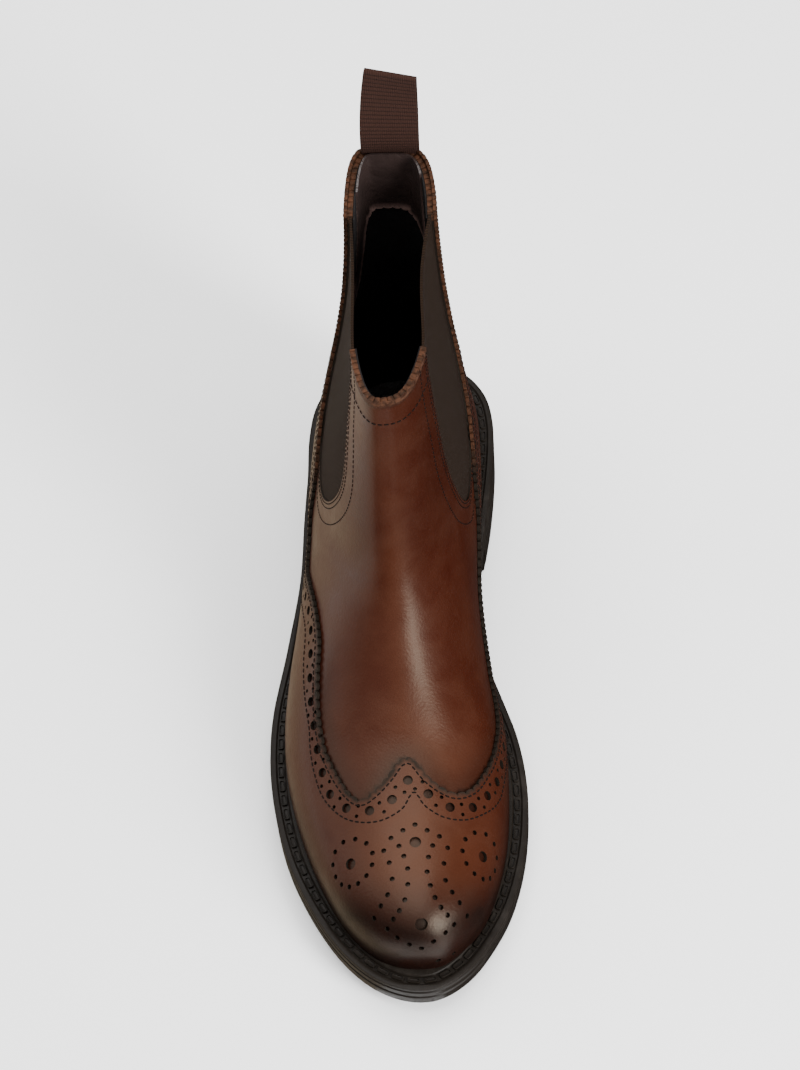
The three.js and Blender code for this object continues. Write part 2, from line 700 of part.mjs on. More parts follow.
// The pull loop: two plies of tape joined at the collar and folded over at the top. It stands on the collar's
// back edge, and leans and turns a little towards its top.
const loopSteps = 12;
function loopSolid() {
  const rear = skin(spine.length - 2, 0);
  const sides = skin(spine.length - 2, Math.PI / 2).add(skin(spine.length - 2, (3 * Math.PI) / 2));
  const centre = new THREE.Vector3(sides.x / 2, rear.y - wall / 2, 0);
  const foot = smoothed(sidePoints(collarEdge), collarSteps)[1].y + seam;
  const bow = (share) => loopBow * Math.sin(Math.PI * Math.sqrt(share)) ** 2;
  const ply = (sign, inset) => {
    const points = [];
    for (let i = 0; i <= loopSteps; i++) {
      const share = i / loopSteps;
      const reach = Math.max(tapeThickness + bow(share) - inset, seam / 2);
      const height = inset + (loopHeight - 2 * inset) * share;
      points.push(new THREE.Vector2(centre.y + sign * reach, foot + height));
    }
    return points;
  };
  const outline = [...ply(1, 0), ...ply(-1, 0).reverse()];
  const hole = [...ply(1, tapeThickness), ...ply(-1, tapeThickness).reverse()];
  const loop = sidePrism(outline, centre.x - loopWidth / 2, centre.x + loopWidth / 2).subtract(
    sidePrism(hole, centre.x - loopWidth, centre.x + loopWidth),
  );
  const geometry = geometryFrom(loop);
  const places = geometry.attributes.position;
  const upright = new THREE.Vector3(0, 0, 1);
  for (let i = 0; i < places.count; i++) {
    const point = new THREE.Vector3().fromBufferAttribute(places, i);
    const share = Math.max(0, (point.z - foot) / loopHeight) ** 2;
    point.sub(centre).applyAxisAngle(upright, -loopTwist * share).add(centre);
    places.setXYZ(i, point.x + loopLean * share, point.y, point.z);
  }
  geometry.computeVertexNormals();
  return geometry;
}

const finishes = {
  leather: { color: 0x6b3420, roughness: 0.4, metalness: 0 },
  burnished: { color: 0x5a2a1a, roughness: 0.35, metalness: 0 },
  elastic: { color: 0x2e2019, roughness: 0.9, metalness: 0 },
  webbing: { color: 0x33201a, roughness: 0.9, metalness: 0 },
  rubber: { color: 0x221e1b, roughness: 0.6, metalness: 0 },
  board: { color: 0x3a2c22, roughness: 0.8, metalness: 0 },
};
const boot = new THREE.Group();
function addPiece(name, geometry, finish) {
  const mesh = new THREE.Mesh(geometry, new THREE.MeshStandardMaterial(finish));
  mesh.name = name;
  boot.add(mesh);
}
const frontPart = overlay.subtract(quarterBlock(quarterFront));
const rearPart = overlay.intersect(quarterBlock(quarterFront - seam / soleLength));

addPiece("upper", geometryFrom(upperSolid()), finishes.leather);
addPiece("wing_cap", geometryFrom(frontPart), finishes.burnished);
addPiece("rear_quarter", geometryFrom(rearPart), finishes.leather);
addPiece("gore_outer", geometryFrom(goreSolid(outerSide, outerPinch)), finishes.elastic);
addPiece("gore_inner", geometryFrom(goreSolid(innerSide, innerPinch)), finishes.elastic);
addPiece("pull_loop", loopSolid(), finishes.webbing);
addPiece("insole", geometryFrom(insoleSolid()), finishes.board);
addPiece("welt", geometryFrom(weltSolid()), finishes.rubber);
addPiece("midsole", geometryFrom(soleLayer(midsoleBase, midsoleThickness)), finishes.rubber);
addPiece("outsole", geometryFrom(outsoleSolid()), finishes.rubber);
addPiece("heel_block", geometryFrom(heelBlockSolid()), finishes.rubber);
addPiece("top_piece", geometryFrom(topPieceSolid()), finishes.rubber);

export default boot;
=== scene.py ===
"""A right-foot brogue ankle boot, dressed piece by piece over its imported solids.

The shapes are worked out in millimetres from the same sections as the solids and written in metres.
"""
import math

import bpy
import numpy as np
from bpy.props import FloatProperty, FloatVectorProperty, PointerProperty
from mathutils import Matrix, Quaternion, Vector
from mathutils.geometry import delaunay_2d_cdt


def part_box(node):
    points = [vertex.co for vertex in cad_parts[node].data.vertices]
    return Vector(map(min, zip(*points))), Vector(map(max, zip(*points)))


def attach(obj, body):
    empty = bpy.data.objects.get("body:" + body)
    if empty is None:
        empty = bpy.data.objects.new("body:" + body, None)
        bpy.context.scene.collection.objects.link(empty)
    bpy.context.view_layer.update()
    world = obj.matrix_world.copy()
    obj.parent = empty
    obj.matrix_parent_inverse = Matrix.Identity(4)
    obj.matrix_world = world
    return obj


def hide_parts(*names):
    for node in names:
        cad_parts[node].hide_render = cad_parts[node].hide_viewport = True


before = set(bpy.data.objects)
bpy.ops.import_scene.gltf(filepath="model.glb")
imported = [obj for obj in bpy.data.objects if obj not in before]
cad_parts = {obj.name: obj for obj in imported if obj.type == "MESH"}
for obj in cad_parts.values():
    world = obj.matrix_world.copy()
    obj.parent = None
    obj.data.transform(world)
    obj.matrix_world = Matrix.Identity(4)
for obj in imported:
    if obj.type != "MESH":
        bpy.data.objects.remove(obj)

bl_info = {
    "name": "Brogue ankle boot",
    "version": (1, 0, 0),
    "blender": (4, 5, 0),
    "location": "View3D > Sidebar > Boot",
    "description": "Builds a burnished leather brogue boot over its solids",
    "category": "Add Mesh",
}

MM = 1000.0
FULL_TURN = 2 * math.pi
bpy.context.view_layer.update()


def span(node, axis):
    """The size of a solid along an axis, in metres."""
    low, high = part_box(node)
    return high[axis] - low[axis]


# Sections of the last and shaft, from the toe tip to above the collar. Places along the boot are shares of
# the sole's length from the heel's back. Drops and toe heights are in toe box heights, rises in upper rises.
# Half widths and centre are shares of the ball width. Belly is the widest place, low and top the roundness.
SECTION_NAMES = (
    "back_along", "back_drop", "back_rise", "front_along", "front_toe", "front_rise",
    "outer", "inner", "centre", "belly", "low", "top",
)
SECTIONS = (
    (0.964, 0.2, 0, 0.964, 0.22, 0, 0, 0, 0.092, 0.5, 2, 2),
    (0.959, -0.2, 0, 0.959, 0.5, 0, 0.085, 0.075, 0.092, 0.55, 2, 2),
    (0.942, -0.38, 0, 0.944, 0.75, 0, 0.175, 0.13, 0.095, 0.53, 2.4, 2.05),
    (0.905, -0.4, 0, 0.909, 0.92, 0, 0.262, 0.218, 0.09, 0.5, 3, 2.1),
    (0.85, -0.4, 0, 0.853, 1.02, 0, 0.328, 0.298, 0.07, 0.47, 3.2, 2.1),
    (0.775, -0.4, 0, 0.783, 1.13, 0, 0.39, 0.358, 0.05, 0.43, 3.4, 2.05),
    (0.69, -0.4, 0, 0.705, 1.3, 0, 0.428, 0.388, 0.027, 0.39, 3.4, 2),
    (0.59, -0.4, 0, 0.65, 1.52, 0, 0.442, 0.384, 0.019, 0.36, 3.3, 2),
    (0.475, -0.38, 0, 0.607, 1.76, 0, 0.422, 0.338, 0.017, 0.35, 3.2, 2),
    (0.35, -0.36, 0, 0.575, 2, 0, 0.376, 0.308, 0.013, 0.36, 3, 2),
    (0.22, -0.34, 0, 0.55, 2.22, 0, 0.35, 0.308, 0.011, 0.37, 2.8, 2),
    (0.105, -0.28, 0, 0.532, 2.42, 0, 0.342, 0.314, 0.009, 0.36, 2.5, 2),
    (0.036, -0.1, 0, 0.517, 2.62, 0, 0.326, 0.312, 0.007, 0.35, 2.35, 2),
    (0.024, 0.2, 0.02, 0.502, 2.85, 0, 0.306, 0.304, 0.007, 0.36, 2.2, 2.05),
    (0.021, 0.3, 0.12, 0.488, 3, 0.025, 0.278, 0.284, 0.007, 0.4, 2.15, 2.1),
    (0.027, 0.3, 0.28, 0.474, 3, 0.09, 0.24, 0.26, 0.007, 0.45, 2.4, 2.15),
    (0.036, 0.3, 0.44, 0.461, 3, 0.155, 0.2, 0.236, 0.007, 0.48, 2.7, 2.25),
    (0.042, 0.3, 0.61, 0.45, 3, 0.22, 0.164, 0.214, 0.007, 0.5, 3.1, 2.35),
    (0.042, 0.3, 0.78, 0.442, 3, 0.285, 0.14, 0.198, 0.007, 0.5, 3.7, 2.45),
    (0.038, 0.3, 0.93, 0.436, 3, 0.335, 0.128, 0.19, 0.007, 0.5, 4.4, 2.5),
    (0.035, 0.3, 1.04, 0.428, 3, 0.46, 0.126, 0.188, 0.007, 0.5, 4.8, 2.5),
)

# The outsole's outline seen from above: share of the length from the heel's back, share of the ball width
# towards the inner side. It runs round the outer side to the toe and back up the inner side.
SOLE_OUTLINE = (
    (0.0, 0.007), (0.009, -0.143), (0.034, -0.265), (0.077, -0.339), (0.135, -0.367), (0.205, -0.369),
    (0.28, -0.379), (0.365, -0.393), (0.455, -0.441), (0.55, -0.492), (0.632, -0.502), (0.71, -0.479),
    (0.79, -0.423), (0.865, -0.33), (0.93, -0.218), (0.975, -0.096), (0.998, 0.037), (0.996, 0.162),
    (0.965, 0.279), (0.915, 0.371), (0.86, 0.439), (0.79, 0.486), (0.72, 0.503), (0.66, 0.494),
    (0.6, 0.462), (0.545, 0.411), (0.475, 0.345), (0.4, 0.317), (0.325, 0.335), (0.25, 0.365),
    (0.175, 0.383), (0.115, 0.383), (0.065, 0.351), (0.026, 0.269), (0.006, 0.147),
)

# Edges in the side view: share of the length from the heel's back, rise over the heel's seat.
OUTER_GORE_FRONT = (
    (0.354, 1.06), (0.356, 0.98), (0.362, 0.858), (0.376, 0.75), (0.393, 0.675), (0.406, 0.61),
    (0.411, 0.55), (0.407, 0.492), (0.392, 0.42), (0.372, 0.36), (0.346, 0.31), (0.314, 0.284),
)
INNER_GORE_FRONT = (
    (0.353, 1.06), (0.355, 0.98), (0.362, 0.858), (0.372, 0.73), (0.384, 0.596), (0.382, 0.455),
    (0.366, 0.34), (0.34, 0.274), (0.306, 0.268),
)
GORE_REAR = (
    (0.268, 0.304), (0.22, 0.372), (0.178, 0.48), (0.155, 0.634), (0.147, 0.813), (0.145, 0.96),
    (0.144, 1.06),
)
GORE_STAGGER = (0.009, 0.026)
OUTER_FLANK = (
    (0.3, 0.232), (0.34, 0.158), (0.378, 0.128), (0.415, 0.146), (0.458, 0.19), (0.512, 0.209),
    (0.59, 0.171),
)
INNER_FLANK = ((0.3, 0.2), (0.34, 0.112), (0.385, 0.046), (0.43, 0.008), (0.5, -0.016), (0.57, -0.01))
COLLAR = (
    (-0.1, 1.004), (0.04, 1.002), (0.15, 0.986), (0.25, 0.972), (0.34, 0.972), (0.39, 0.966),
    (0.435, 0.952), (0.6, 0.93),
)
COLLAR_STITCHES = ((-0.1, 0.868), (0.3, 0.868), (0.38, 0.87), (0.6, 0.87))

# Lines over the toe seen from above: share of the ball width, share of the length.
WING_EDGE = (
    (-0.262, 0.672), (-0.237, 0.7), (-0.2, 0.728), (-0.157, 0.752), (-0.116, 0.763), (-0.07, 0.754),
    (-0.021, 0.736), (0.016, 0.718), (0.05, 0.711), (0.084, 0.716), (0.128, 0.735), (0.181, 0.749),
    (0.233, 0.753), (0.288, 0.74), (0.329, 0.713), (0.364, 0.678),
)
WING_HOLES = (
    (-0.289, 0.66), (-0.28, 0.686), (-0.26, 0.717), (-0.227, 0.75), (-0.157, 0.774), (-0.065, 0.78),
    (0.002, 0.767), (0.061, 0.742), (0.137, 0.762), (0.22, 0.776), (0.301, 0.765), (0.359, 0.729),
    (0.387, 0.694),
)
WING_PEAK_HOLE = (0.061, 0.742)
WING_BASE = (
    (-0.316, 0.64), (-0.308, 0.68), (-0.29, 0.715), (-0.255, 0.75), (-0.186, 0.781), (-0.115, 0.794),
    (-0.039, 0.795), (0.032, 0.782), (0.077, 0.759), (0.119, 0.777), (0.184, 0.79), (0.258, 0.789),
    (0.325, 0.773), (0.375, 0.747), (0.397, 0.711),
)

# The pattern of holes on the toe, seen from above: single big holes, lines with their number of holes and the
# points that they run through, and rings with their centre and number of holes.
TOE_BIG_HOLES = ((0.083, 0.828), (0.105, 0.938), (-0.152, 0.847), (0.321, 0.832))
TOE_LINES = (
    (5, ((-0.005, 0.821), (0.038, 0.811), (0.079, 0.803), (0.127, 0.811), (0.169, 0.818))),
    (8, ((0.024, 0.833), (0.052, 0.858), (0.058, 0.884), (0.041, 0.914), (-0.015, 0.938))),
    (8, ((0.145, 0.832), (0.126, 0.856), (0.13, 0.88), (0.161, 0.911), (0.215, 0.93))),
    (6, ((-0.031, 0.838), (-0.002, 0.866), (-0.007, 0.894), (-0.063, 0.923))),
    (6, ((0.198, 0.833), (0.182, 0.866), (0.204, 0.89), (0.261, 0.915))),
    (5, ((0.019, 0.948), (0.066, 0.955), (0.105, 0.957), (0.151, 0.95), (0.184, 0.941))),
    (3, ((0.104, 0.965), (0.156, 0.96), (0.208, 0.949))),
)
TOE_RINGS = ((-0.152, 0.847, 12), (0.321, 0.832, 11))

# Soft creases of the leather: place along the sections, slant, bearing in turns, half span in turns,
# width in sections and depth in millimetres.
CREASES = (
    (9.3, 0.5, 0.47, 0.13, 1.1, 0.12),
    (12.6, -0.4, 0.54, 0.12, 1.1, 0.12),
    (15.2, 0.4, 0.02, 0.13, 0.45, 0.55),
    (16.4, -0.3, 0.97, 0.12, 0.4, 0.5),
    (14.4, 0.2, 0.12, 0.1, 0.35, 0.5),
    (14.6, -0.2, 0.88, 0.1, 0.35, 0.5),
)

# Places as shares of the length: the heel's front, where the arch starts to fall and where it meets the floor,
# where the toe starts to rise, the tread's last groove, and the seam between wing cap and rear quarter.
HEEL_BREAST = 0.3
ARCH_START = 0.24
TREAD_START = 0.54
TREAD_END = 0.8
TOE_TREAD_END = 0.93
QUARTER_FRONT = 0.37

# The faces of the lining and of the facing, in millimetres under the wall's inner face.
LINING_FACES = (0.1, 0.7)
FACING_FACES = (0.72, 1.5)

# How far the pieces inside the shaft end below the collar, how far the lining ends over the insole and stands
# back from the windows, and how far the elastic reaches under the leather, in millimetres.
LINING_DROP = 1.5
FACING_DROP = 0.1
ELASTIC_DROP = 0.6
LINING_LIFT = 2
LINING_BACK = 1.0
ELASTIC_REACH = 0.15

# The bearings between which the facing hangs inside the back of the collar, in half turns.
FACING_BEARINGS = (-0.31, 0.27)

# Distances in millimetres that stitches and holes keep from the collar, the welt and the elastic.
STITCH_COLLAR_GAP = 2.2
STITCH_WELT_GAP = 1
STITCH_GORE_GAP = 0.3
HOLE_COLLAR_GAP = 6.0
HOLE_WELT_GAP = 4
QUARTER_ROW_DROP = 2.6

# The small holes on both sides of the line of big ones, in millimetres, and the share of a hole's radius
# within which no leather is left.
SMALL_HOLE_OFFSETS = (1.9, -2.1)
HOLE_CLEAR = 0.97

# The sections between which the strip down the back is sewn, and how much of a stitch's distance is thread.
BACK_STRIP_PLACES = (13.2, 19.6)
STITCH_FILL = 0.76

# Rings of one stitch: place in stitch lengths, then width and lift in half threads.
STITCH_PROFILE = (
    (-0.5, 0.35, -0.35), (-0.42, 0.8, 0), (-0.2, 1, 0.15),
    (0.2, 1, 0.15), (0.42, 0.8, 0), (0.5, 0.35, -0.35),
)

# Rings of one pad on the welt: share of its size and lift over the channel in millimetres.
PAD_PROFILE = ((1, -0.2), (1, 0.75), (0.9, 1.0), (0.74, 1.0), (0.6, 0.4), (0.5, 0.35))
PAD_SIDES = 16

# How far the welt reaches under the upper, in millimetres.
WELT_TUCK = 2.0

# Angles between faces from which their crease stays sharp.
LAYER_CREASE = math.radians(35)
WELT_CREASE = math.radians(32)
TAPE_CREASE = math.radians(50)

# Stripes where the leather is lighter, partly rubbed light and partly a painted highlight: centre and width in
# ball widths, the shares of the length between which it begins and ends, and its strength. They lie on the
# vamp, the instep and the toe's crown.
RUBBED_AND_HIGHLIT_STRIPES = (
    (0.12, 0.13, (0.56, 0.68), (0.8, 0.7), 0.3),
    (0.03, 0.045, (0.44, 0.5), (0.72, 0.6), 0.2),
    (0.08, 0.2, (0.72, 0.8), (0.93, 0.86), 0.5),
)

# Distances from rib to rib and from thread to thread of the fabrics, in metres.
ELASTIC_RIB = 0.00115
ELASTIC_THREAD = 0.0006
TAPE_THREAD = 0.0008
LINING_THREAD = 0.0009

# The studio's soft lights: name, place, target and size in metres, and power in watts.
LIGHTS = (
    ("overhead_softbox", (0, 0.35, 2.0), (0, 0, 0), (2.0, 2.0), 62),
    ("front_strip", (1.12, -0.92, 0.78), (0.01, -0.05, 0.05), (0.46, 1.3), 62),
    ("left_softbox", (-1.6, 0.2, 1.1), (0, 0, 0.1), (1.5, 1.5), 14),
)
SKY = 0.9
HALF_FLOOR = 6.0

# Cards that only reflections show: name, paper, sweep and the line that is swept, in metres.
CARD_COLOURS = {"dark card": (0.02, 0.015, 0.012), "khaki card": (0.38, 0.31, 0.21)}
CARDS = (
    (
        "right_card", "dark card", (0, 0.45, 0),
        ((0.02, -0.15, 0.0015), (0.065, -0.15, 0.0015), (0.065, -0.15, 0.22)),
    ),
    ("left_card", "khaki card", (0, 0.5, 0), ((-0.2, -0.16, 0.0015), (-0.01, -0.16, 0.0015))),
    (
        "front_card", "dark card", (0, 0, 0.12),
        ((-0.11, -0.1, 0), (-0.09, -0.17, 0), (-0.02, -0.22, 0), (0.08, -0.22, 0)),
    ),
)

# The camera: place and aim in metres, lens and sensor in millimetres, and its turn about its own line of
# sight in degrees.
CAMERA_PLACE = (0.056, -0.6071, 1.083)
CAMERA_AIM = (0.0022, 0.0376, 0.06)
CAMERA_LENS = 137
CAMERA_SENSOR = 36
CAMERA_ROLL = -5.08


# Settings
def length(label, text, millimetres, low=0.0):
    """A length setting, written in millimetres and kept in metres."""
    default = millimetres / MM
    return FloatProperty(name=label, description=text, default=default, min=low, unit="LENGTH", precision=5)


def colour(label, text, value):
    """A colour setting."""
    return FloatVectorProperty(
        name=label, description=text, default=value, size=3, min=0, max=1, subtype="COLOR"
    )


class BootSizes(bpy.types.PropertyGroup):
    """Sizes of the upper and the sole."""

    sole_length: length("Sole length", "Outsole from heel to toe", round(span("outsole", 1) * MM, 1))
    ball_width: length("Ball width", "Outsole across the ball", 102)
    upper_rise: length("Upper rise", "Heel seat to collar at the back", 156)
    toe_box: length("Toe box", "Height of the toe over its seat", 34)
    outsole: length("Outsole", "Thickness of the outsole", 6.5)
    midsole: length("Midsole", "Thickness of the midsole", 4)
    welt: length("Welt", "Thickness of the welt", 3.2)
    heel_block: length("Heel block", "Height of the heel's block", 14)
    top_piece: length("Top piece", "Height of the heel's wearing layer", 6)
    toe_spring: length("Toe spring", "Lift of the toe off the floor", 8)
    seam: length("Seam", "Gap between pieces that touch", 0.3)
    wall: length("Wall", "Thickness of the upper's leather", 2)
    overlay: length("Overlay", "Thickness of the overlay leather", 1.2)
    gore_recess: length("Elastic recess", "Depth of the elastic under the leather", 0.7)
    gore_thickness: length("Elastic thickness", "Thickness of the elastic", 1)
    outer_pinch: length("Outer draw", "How far the outer elastic draws in", 1.2)
    inner_pinch: length("Inner draw", "How far the inner elastic draws in", 3.2)
    facing_depth: length("Facing depth", "Depth of the facing inside the collar", 31)


class TrimSizes(bpy.types.PropertyGroup):
    """Sizes of stitches, scallops and punched holes."""

    scallop: length("Scallop", "Length of one scallop of the pinked edges", 3.5)
    scallop_depth: length("Scallop depth", "Depth of the scallops", 1.0)
    fine_scallop: length("Fine scallop", "Length of one scallop of the collar's edge", 2.6)
    fine_depth: length("Fine scallop depth", "Depth of the collar's scallops", 0.55)
    stitch: length("Stitch", "Distance from stitch to stitch", 2.4)
    thread: length("Thread", "Thickness of the thread", 0.62)
    big_hole: length("Big hole", "Radius of the big holes of the band", 1.85)
    toe_big_hole: length("Toe big hole", "Radius of the big holes on the toe", 2.15)
    small_hole: length("Small hole", "Radius of the small holes of the band", 0.75)
    toe_small_hole: length("Toe small hole", "Radius of the small holes on the toe", 0.98)
    hole_pitch: length("Hole pitch", "Distance from big hole to big hole", 9.6)
    ring_radius: length("Ring radius", "Radius of the rings of holes on the toe", 9)
    edge_row: length("Edge row", "Distance of the stitches from a pinked edge", 2.5)
    band: length("Band", "Width of the punched band", 11.5)
    gore_dots: length("Elastic dots", "Distance of the first stitches from the elastic", 0.9)
    gore_row: length("Elastic row", "Distance of the second stitches from the elastic", 2.7)
    gore_far_row: length("Elastic far row", "Distance of the third stitches from the elastic", 9)
    back_strip: length("Back strip", "Distance between the two rows of stitches down the back", 7)


class SoleSizes(bpy.types.PropertyGroup):
    """Sizes of the welt's profile, the tread and the heel."""

    groove: length("Groove", "Depth of the grooves between layers", 0.7)
    bevel: length("Bevel", "Bevel of the walking edge", 1.8)
    rim: length("Rim", "Width of the welt's smooth rim", 2.2)
    rim_drop: length("Rim drop", "How far the rim lies under the bead", 0.7)
    channel: length("Channel", "Width of the welt's channel", 2.8)
    channel_drop: length("Channel drop", "Depth of the welt's channel", 1.3)
    pad_pitch: length("Pad pitch", "Distance from pad to pad in the channel", 6.3)
    pad_length: length("Pad length", "Length of one pad in the channel", 4.8)
    pad_width: length("Pad width", "Width of one pad in the channel", 2.3)
    tread_depth: length("Tread depth", "Depth of the tread's grooves", 2.4)
    tread_groove: length("Tread groove", "Width of the tread's grooves", 3)
    tread_pitch: length("Tread pitch", "Distance from groove to groove", 10.5)
    tread_margin: length("Tread margin", "Plain margin round the tread", 9)


class LoopSizes(bpy.types.PropertyGroup):
    """Sizes of the pull loop."""

    width: length("Width", "Width of the tape", 22)
    height: length("Height", "Height of the loop over the collar", 43)
    thickness: length("Thickness", "Thickness of the tape", 1.1)
    bow: length("Bow", "How far the two plies bow apart", 3.4)
    rib: length("Rib", "Distance from rib to rib", 1.9)
    rib_depth: length("Rib depth", "Height of the ribs", 0.24)
    lean: length("Lean", "How far the top leans inwards", 2)
    taper: FloatProperty(
        name="Taper", description="Share of the width lost at the fold", default=0.1, min=0, max=0.5
    )
    twist: FloatProperty(
        name="Twist", description="Turn of the loop at its top", default=0.25, subtype="ANGLE"
    )


class Finishes(bpy.types.PropertyGroup):
    """Colours of the leathers, fabrics and rubber."""

    leather: colour("Leather", "Chestnut leather", (0.0225, 0.0036, 0.0013))
    # Light leather: rubbed light, and partly a painted highlight down the vamp and over the toe's crown.
    leather_rubbed_and_highlit: colour("Light leather", "Where the leather is rubbed light", (0.052, 0.0162, 0.007))
    # Dark leather: burnish at the toe and heel, and painted shade low along the welt, by the wings' edge, in
    # the holes and on the shaft's inner side.
    leather_burnish_and_shade: colour("Dark leather", "Where the leather is burnished dark", (0.0055, 0.0017, 0.0012))
    raw: colour("Raw edge", "Cut edges of the leather", (0.04, 0.0138, 0.0062))
    pinked: colour("Pinked strip", "Waxed strip along the pinked edges", (0.0044, 0.0028, 0.0021))
    facing: colour("Facing", "Leather facing inside the collar", (0.0175, 0.0108, 0.0095))
    elastic: colour("Elastic", "Ribbed elastic", (0.0118, 0.0062, 0.0034))
    tape: colour("Tape", "Ribbed tape of the loop", (0.0215, 0.009, 0.0062))
    lining: colour("Lining", "Textile lining", (0.011, 0.0098, 0.0098))
    thread: colour("Thread", "Stitching thread", (0.0042, 0.0026, 0.002))
    rubber: colour("Rubber", "Welt and sole", (0.0078, 0.0057, 0.0041))
    floor: colour("Floor", "Studio floor", (0.95, 0.95, 0.95))


# The last's form
def mm(value):
    """A setting in millimetres."""
    return value * MM


def smooth(low, high, x):
    """0 at low, 1 at high and a soft rise between them."""
    t = np.clip((x - low) / (high - low), 0, 1)
    return t * t * (3 - 2 * t)


def spline(points, steps=12):
    """A smooth curve through the points, with a number of steps between each two."""
    p = np.asarray(points, float)
    padded = np.vstack([2 * p[0] - p[1], p, 2 * p[-1] - p[-2]])
    t = np.linspace(0, 1, steps, endpoint=False)[:, None]
    pieces = []
    for a, b, c, d in zip(padded, padded[1:], padded[2:], padded[3:]):
        square, cube = 2 * a - 5 * b + 4 * c - d, 3 * b - a - 3 * c + d
        pieces.append(0.5 * (2 * b + (c - a) * t + square * t**2 + cube * t**3))
    return np.vstack(pieces + [p[-1:]])


def even(points, count):
    """The same line with a number of points evenly spaced along it."""
    reach = np.concatenate([[0], np.cumsum(np.linalg.norm(np.diff(points, axis=0), axis=1))])
    stops = np.linspace(0, reach[-1], count)
    return np.stack([np.interp(stops, reach, points[:, k]) for k in range(points.shape[1])], 1)


def inside(points, outline):
    """Which points lie inside a closed outline."""
    hit = np.zeros(len(points), bool)
    x, y = points[:, 0], points[:, 1]
    for (ax, ay), (bx, by) in zip(outline, np.roll(outline, -1, axis=0)):
        if ay == by:
            continue
        cross = (ay > y) != (by > y)
        hit ^= cross & (x < (bx - ax) * (y - ay) / (by - ay) + ax)
    return hit


class Form:
    """The last and shaft. A spot on it is a place, counted in sections, and a bearing round the section."""

    # SPREAD stretches the flat layout, TOP_BEARING and TOP_LAST bound the part that is seen from above,
    # UNDER_LAST is the last section that reaches down to the sole and COLLAR_FIRST lies below the collar.
    SPREAD = 0.5
    LAST = len(SECTIONS) - 1
    TOP_BEARING = 0.47
    TOP_LAST = 9.5
    UNDER_LAST = 13.6
    COLLAR_FIRST = 15

    def __init__(self, scene):
        s = scene.boot_sizes
        self.length, self.ball = mm(s.sole_length), mm(s.ball_width)
        self.rise, self.toe = mm(s.upper_rise), mm(s.toe_box)
        seam = mm(s.seam)
        self.heel = mm(s.heel_block) + mm(s.top_piece) + 2 * seam
        self.spring = mm(s.toe_spring)
        self.midsole_base = mm(s.outsole) + seam
        self.welt_base = self.midsole_base + mm(s.midsole) + seam
        self.welt_top = self.welt_base + mm(s.welt)
        rows = np.array(SECTIONS, float)
        slope = np.gradient(rows, axis=0)
        self.rows = {name: (rows[:, i], slope[:, i]) for i, name in enumerate(SECTION_NAMES)}
        places, bearings = np.arange(0.05, self.LAST, 0.1), np.linspace(0, FULL_TURN, 240)
        place, bearing = np.meshgrid(places, bearings, indexing="ij")
        self.net = np.stack([place.ravel(), bearing.ravel()], 1)
        self.net_points = self.skin(self.net)

    def y_of(self, along):
        """The place in millimetres of a share of the sole's length."""
        return self.length * (0.5 - along)

    def along_of(self, y):
        """The share of the sole's length of a place in millimetres."""
        return 0.5 - y / self.length

    def tread(self, along):
        """Height of the outsole's underside over the floor, leaving out the heel."""
        arch = self.heel * (1 - smooth(ARCH_START, TREAD_START, along))
        lift = np.maximum(0, (along - TREAD_END) / (1 - TREAD_END))
        return arch + self.spring * lift**1.6

    def level(self, lift):
        """A height over the outsole's underside, as a function of the place along the sole."""
        return lambda along: self.tread(along) + lift

    def side_height(self, rise):
        """The height of a rise in the side view."""
        return self.tread(0) + self.welt_base + self.rise * rise

    def column(self, name, place):
        """One column of the sections, smooth between them."""
        value, slope = self.rows[name]
        i = np.clip(np.floor(place).astype(int), 0, self.LAST - 1)
        u = place - i
        a, b, p, q = value[i], value[i + 1], slope[i], slope[i + 1]
        return a + u * (p + u * (3 * (b - a) - 2 * p - q + u * (2 * (a - b) + p + q)))

    def skin(self, spots):
        """Points of the bare form at the spots."""
        place, bearing = spots[:, 0], np.mod(spots[:, 1], FULL_TURN)

        def get(name):
            """One column at the spots' places."""
            return self.column(name, place)

        back, front = get("back_along"), get("front_along")
        seat = self.level(self.welt_base)
        back_z = seat(back) + self.toe * get("back_drop") + self.rise * get("back_rise")
        front_z = seat(front) + self.toe * get("front_toe") + self.rise * get("front_rise")
        side = np.where(bearing <= math.pi, 1, -1)
        sine, cosine = np.abs(np.sin(bearing)), np.abs(np.cos(bearing))
        low = np.cos(bearing) > 0
        power = np.where(low, get("low"), get("top"))
        radius = (sine**power + cosine**power) ** (-1 / power)
        belly = get("belly")
        share = np.where(low, belly * (1 - radius * cosine), belly + (1 - belly) * radius * cosine)
        reach = np.where(side > 0, get("inner"), get("outer"))
        return np.stack(
            [
                self.ball * (get("centre") + side * reach * radius * sine),
                self.y_of(back + (front - back) * share),
                back_z + (front_z - back_z) * share,
            ],
            1,
        )

    def plane(self, spots):
        """The spots laid out flat round the toe tip, so that the whole skin is one sheet."""
        radius = np.expm1(self.SPREAD * spots[:, 0])
        return np.stack([radius * np.cos(spots[:, 1]), radius * np.sin(spots[:, 1])], 1)

    def spots(self, flat):
        """The spots of points of the flat layout."""
        radius = np.hypot(flat[:, 0], flat[:, 1])
        place = np.clip(np.log1p(radius) / self.SPREAD, 0, self.LAST - 1e-6)
        return np.stack([place, np.mod(np.arctan2(flat[:, 1], flat[:, 0]), FULL_TURN)], 1)

    def relief(self, spots):
        """Soft creases, as millimetres along the skin's normal."""
        turns = spots[:, 1] / FULL_TURN
        total = np.zeros(len(spots))
        for place, slant, centre, half, width, depth in CREASES:
            off = np.mod(turns - centre + 0.5, 1) - 0.5
            fade = smooth(half, half * 0.2, np.abs(off))
            waver = 0.3 * np.sin(off * 21 + place)
            distance = (spots[:, 0] - place - slant * off / half + waver) / width
            ridges = 0.55 * np.exp(-((np.abs(distance) - 1.1) ** 2) * 2)
            total += depth * fade * (ridges - np.exp(-(distance**2)))
        return total

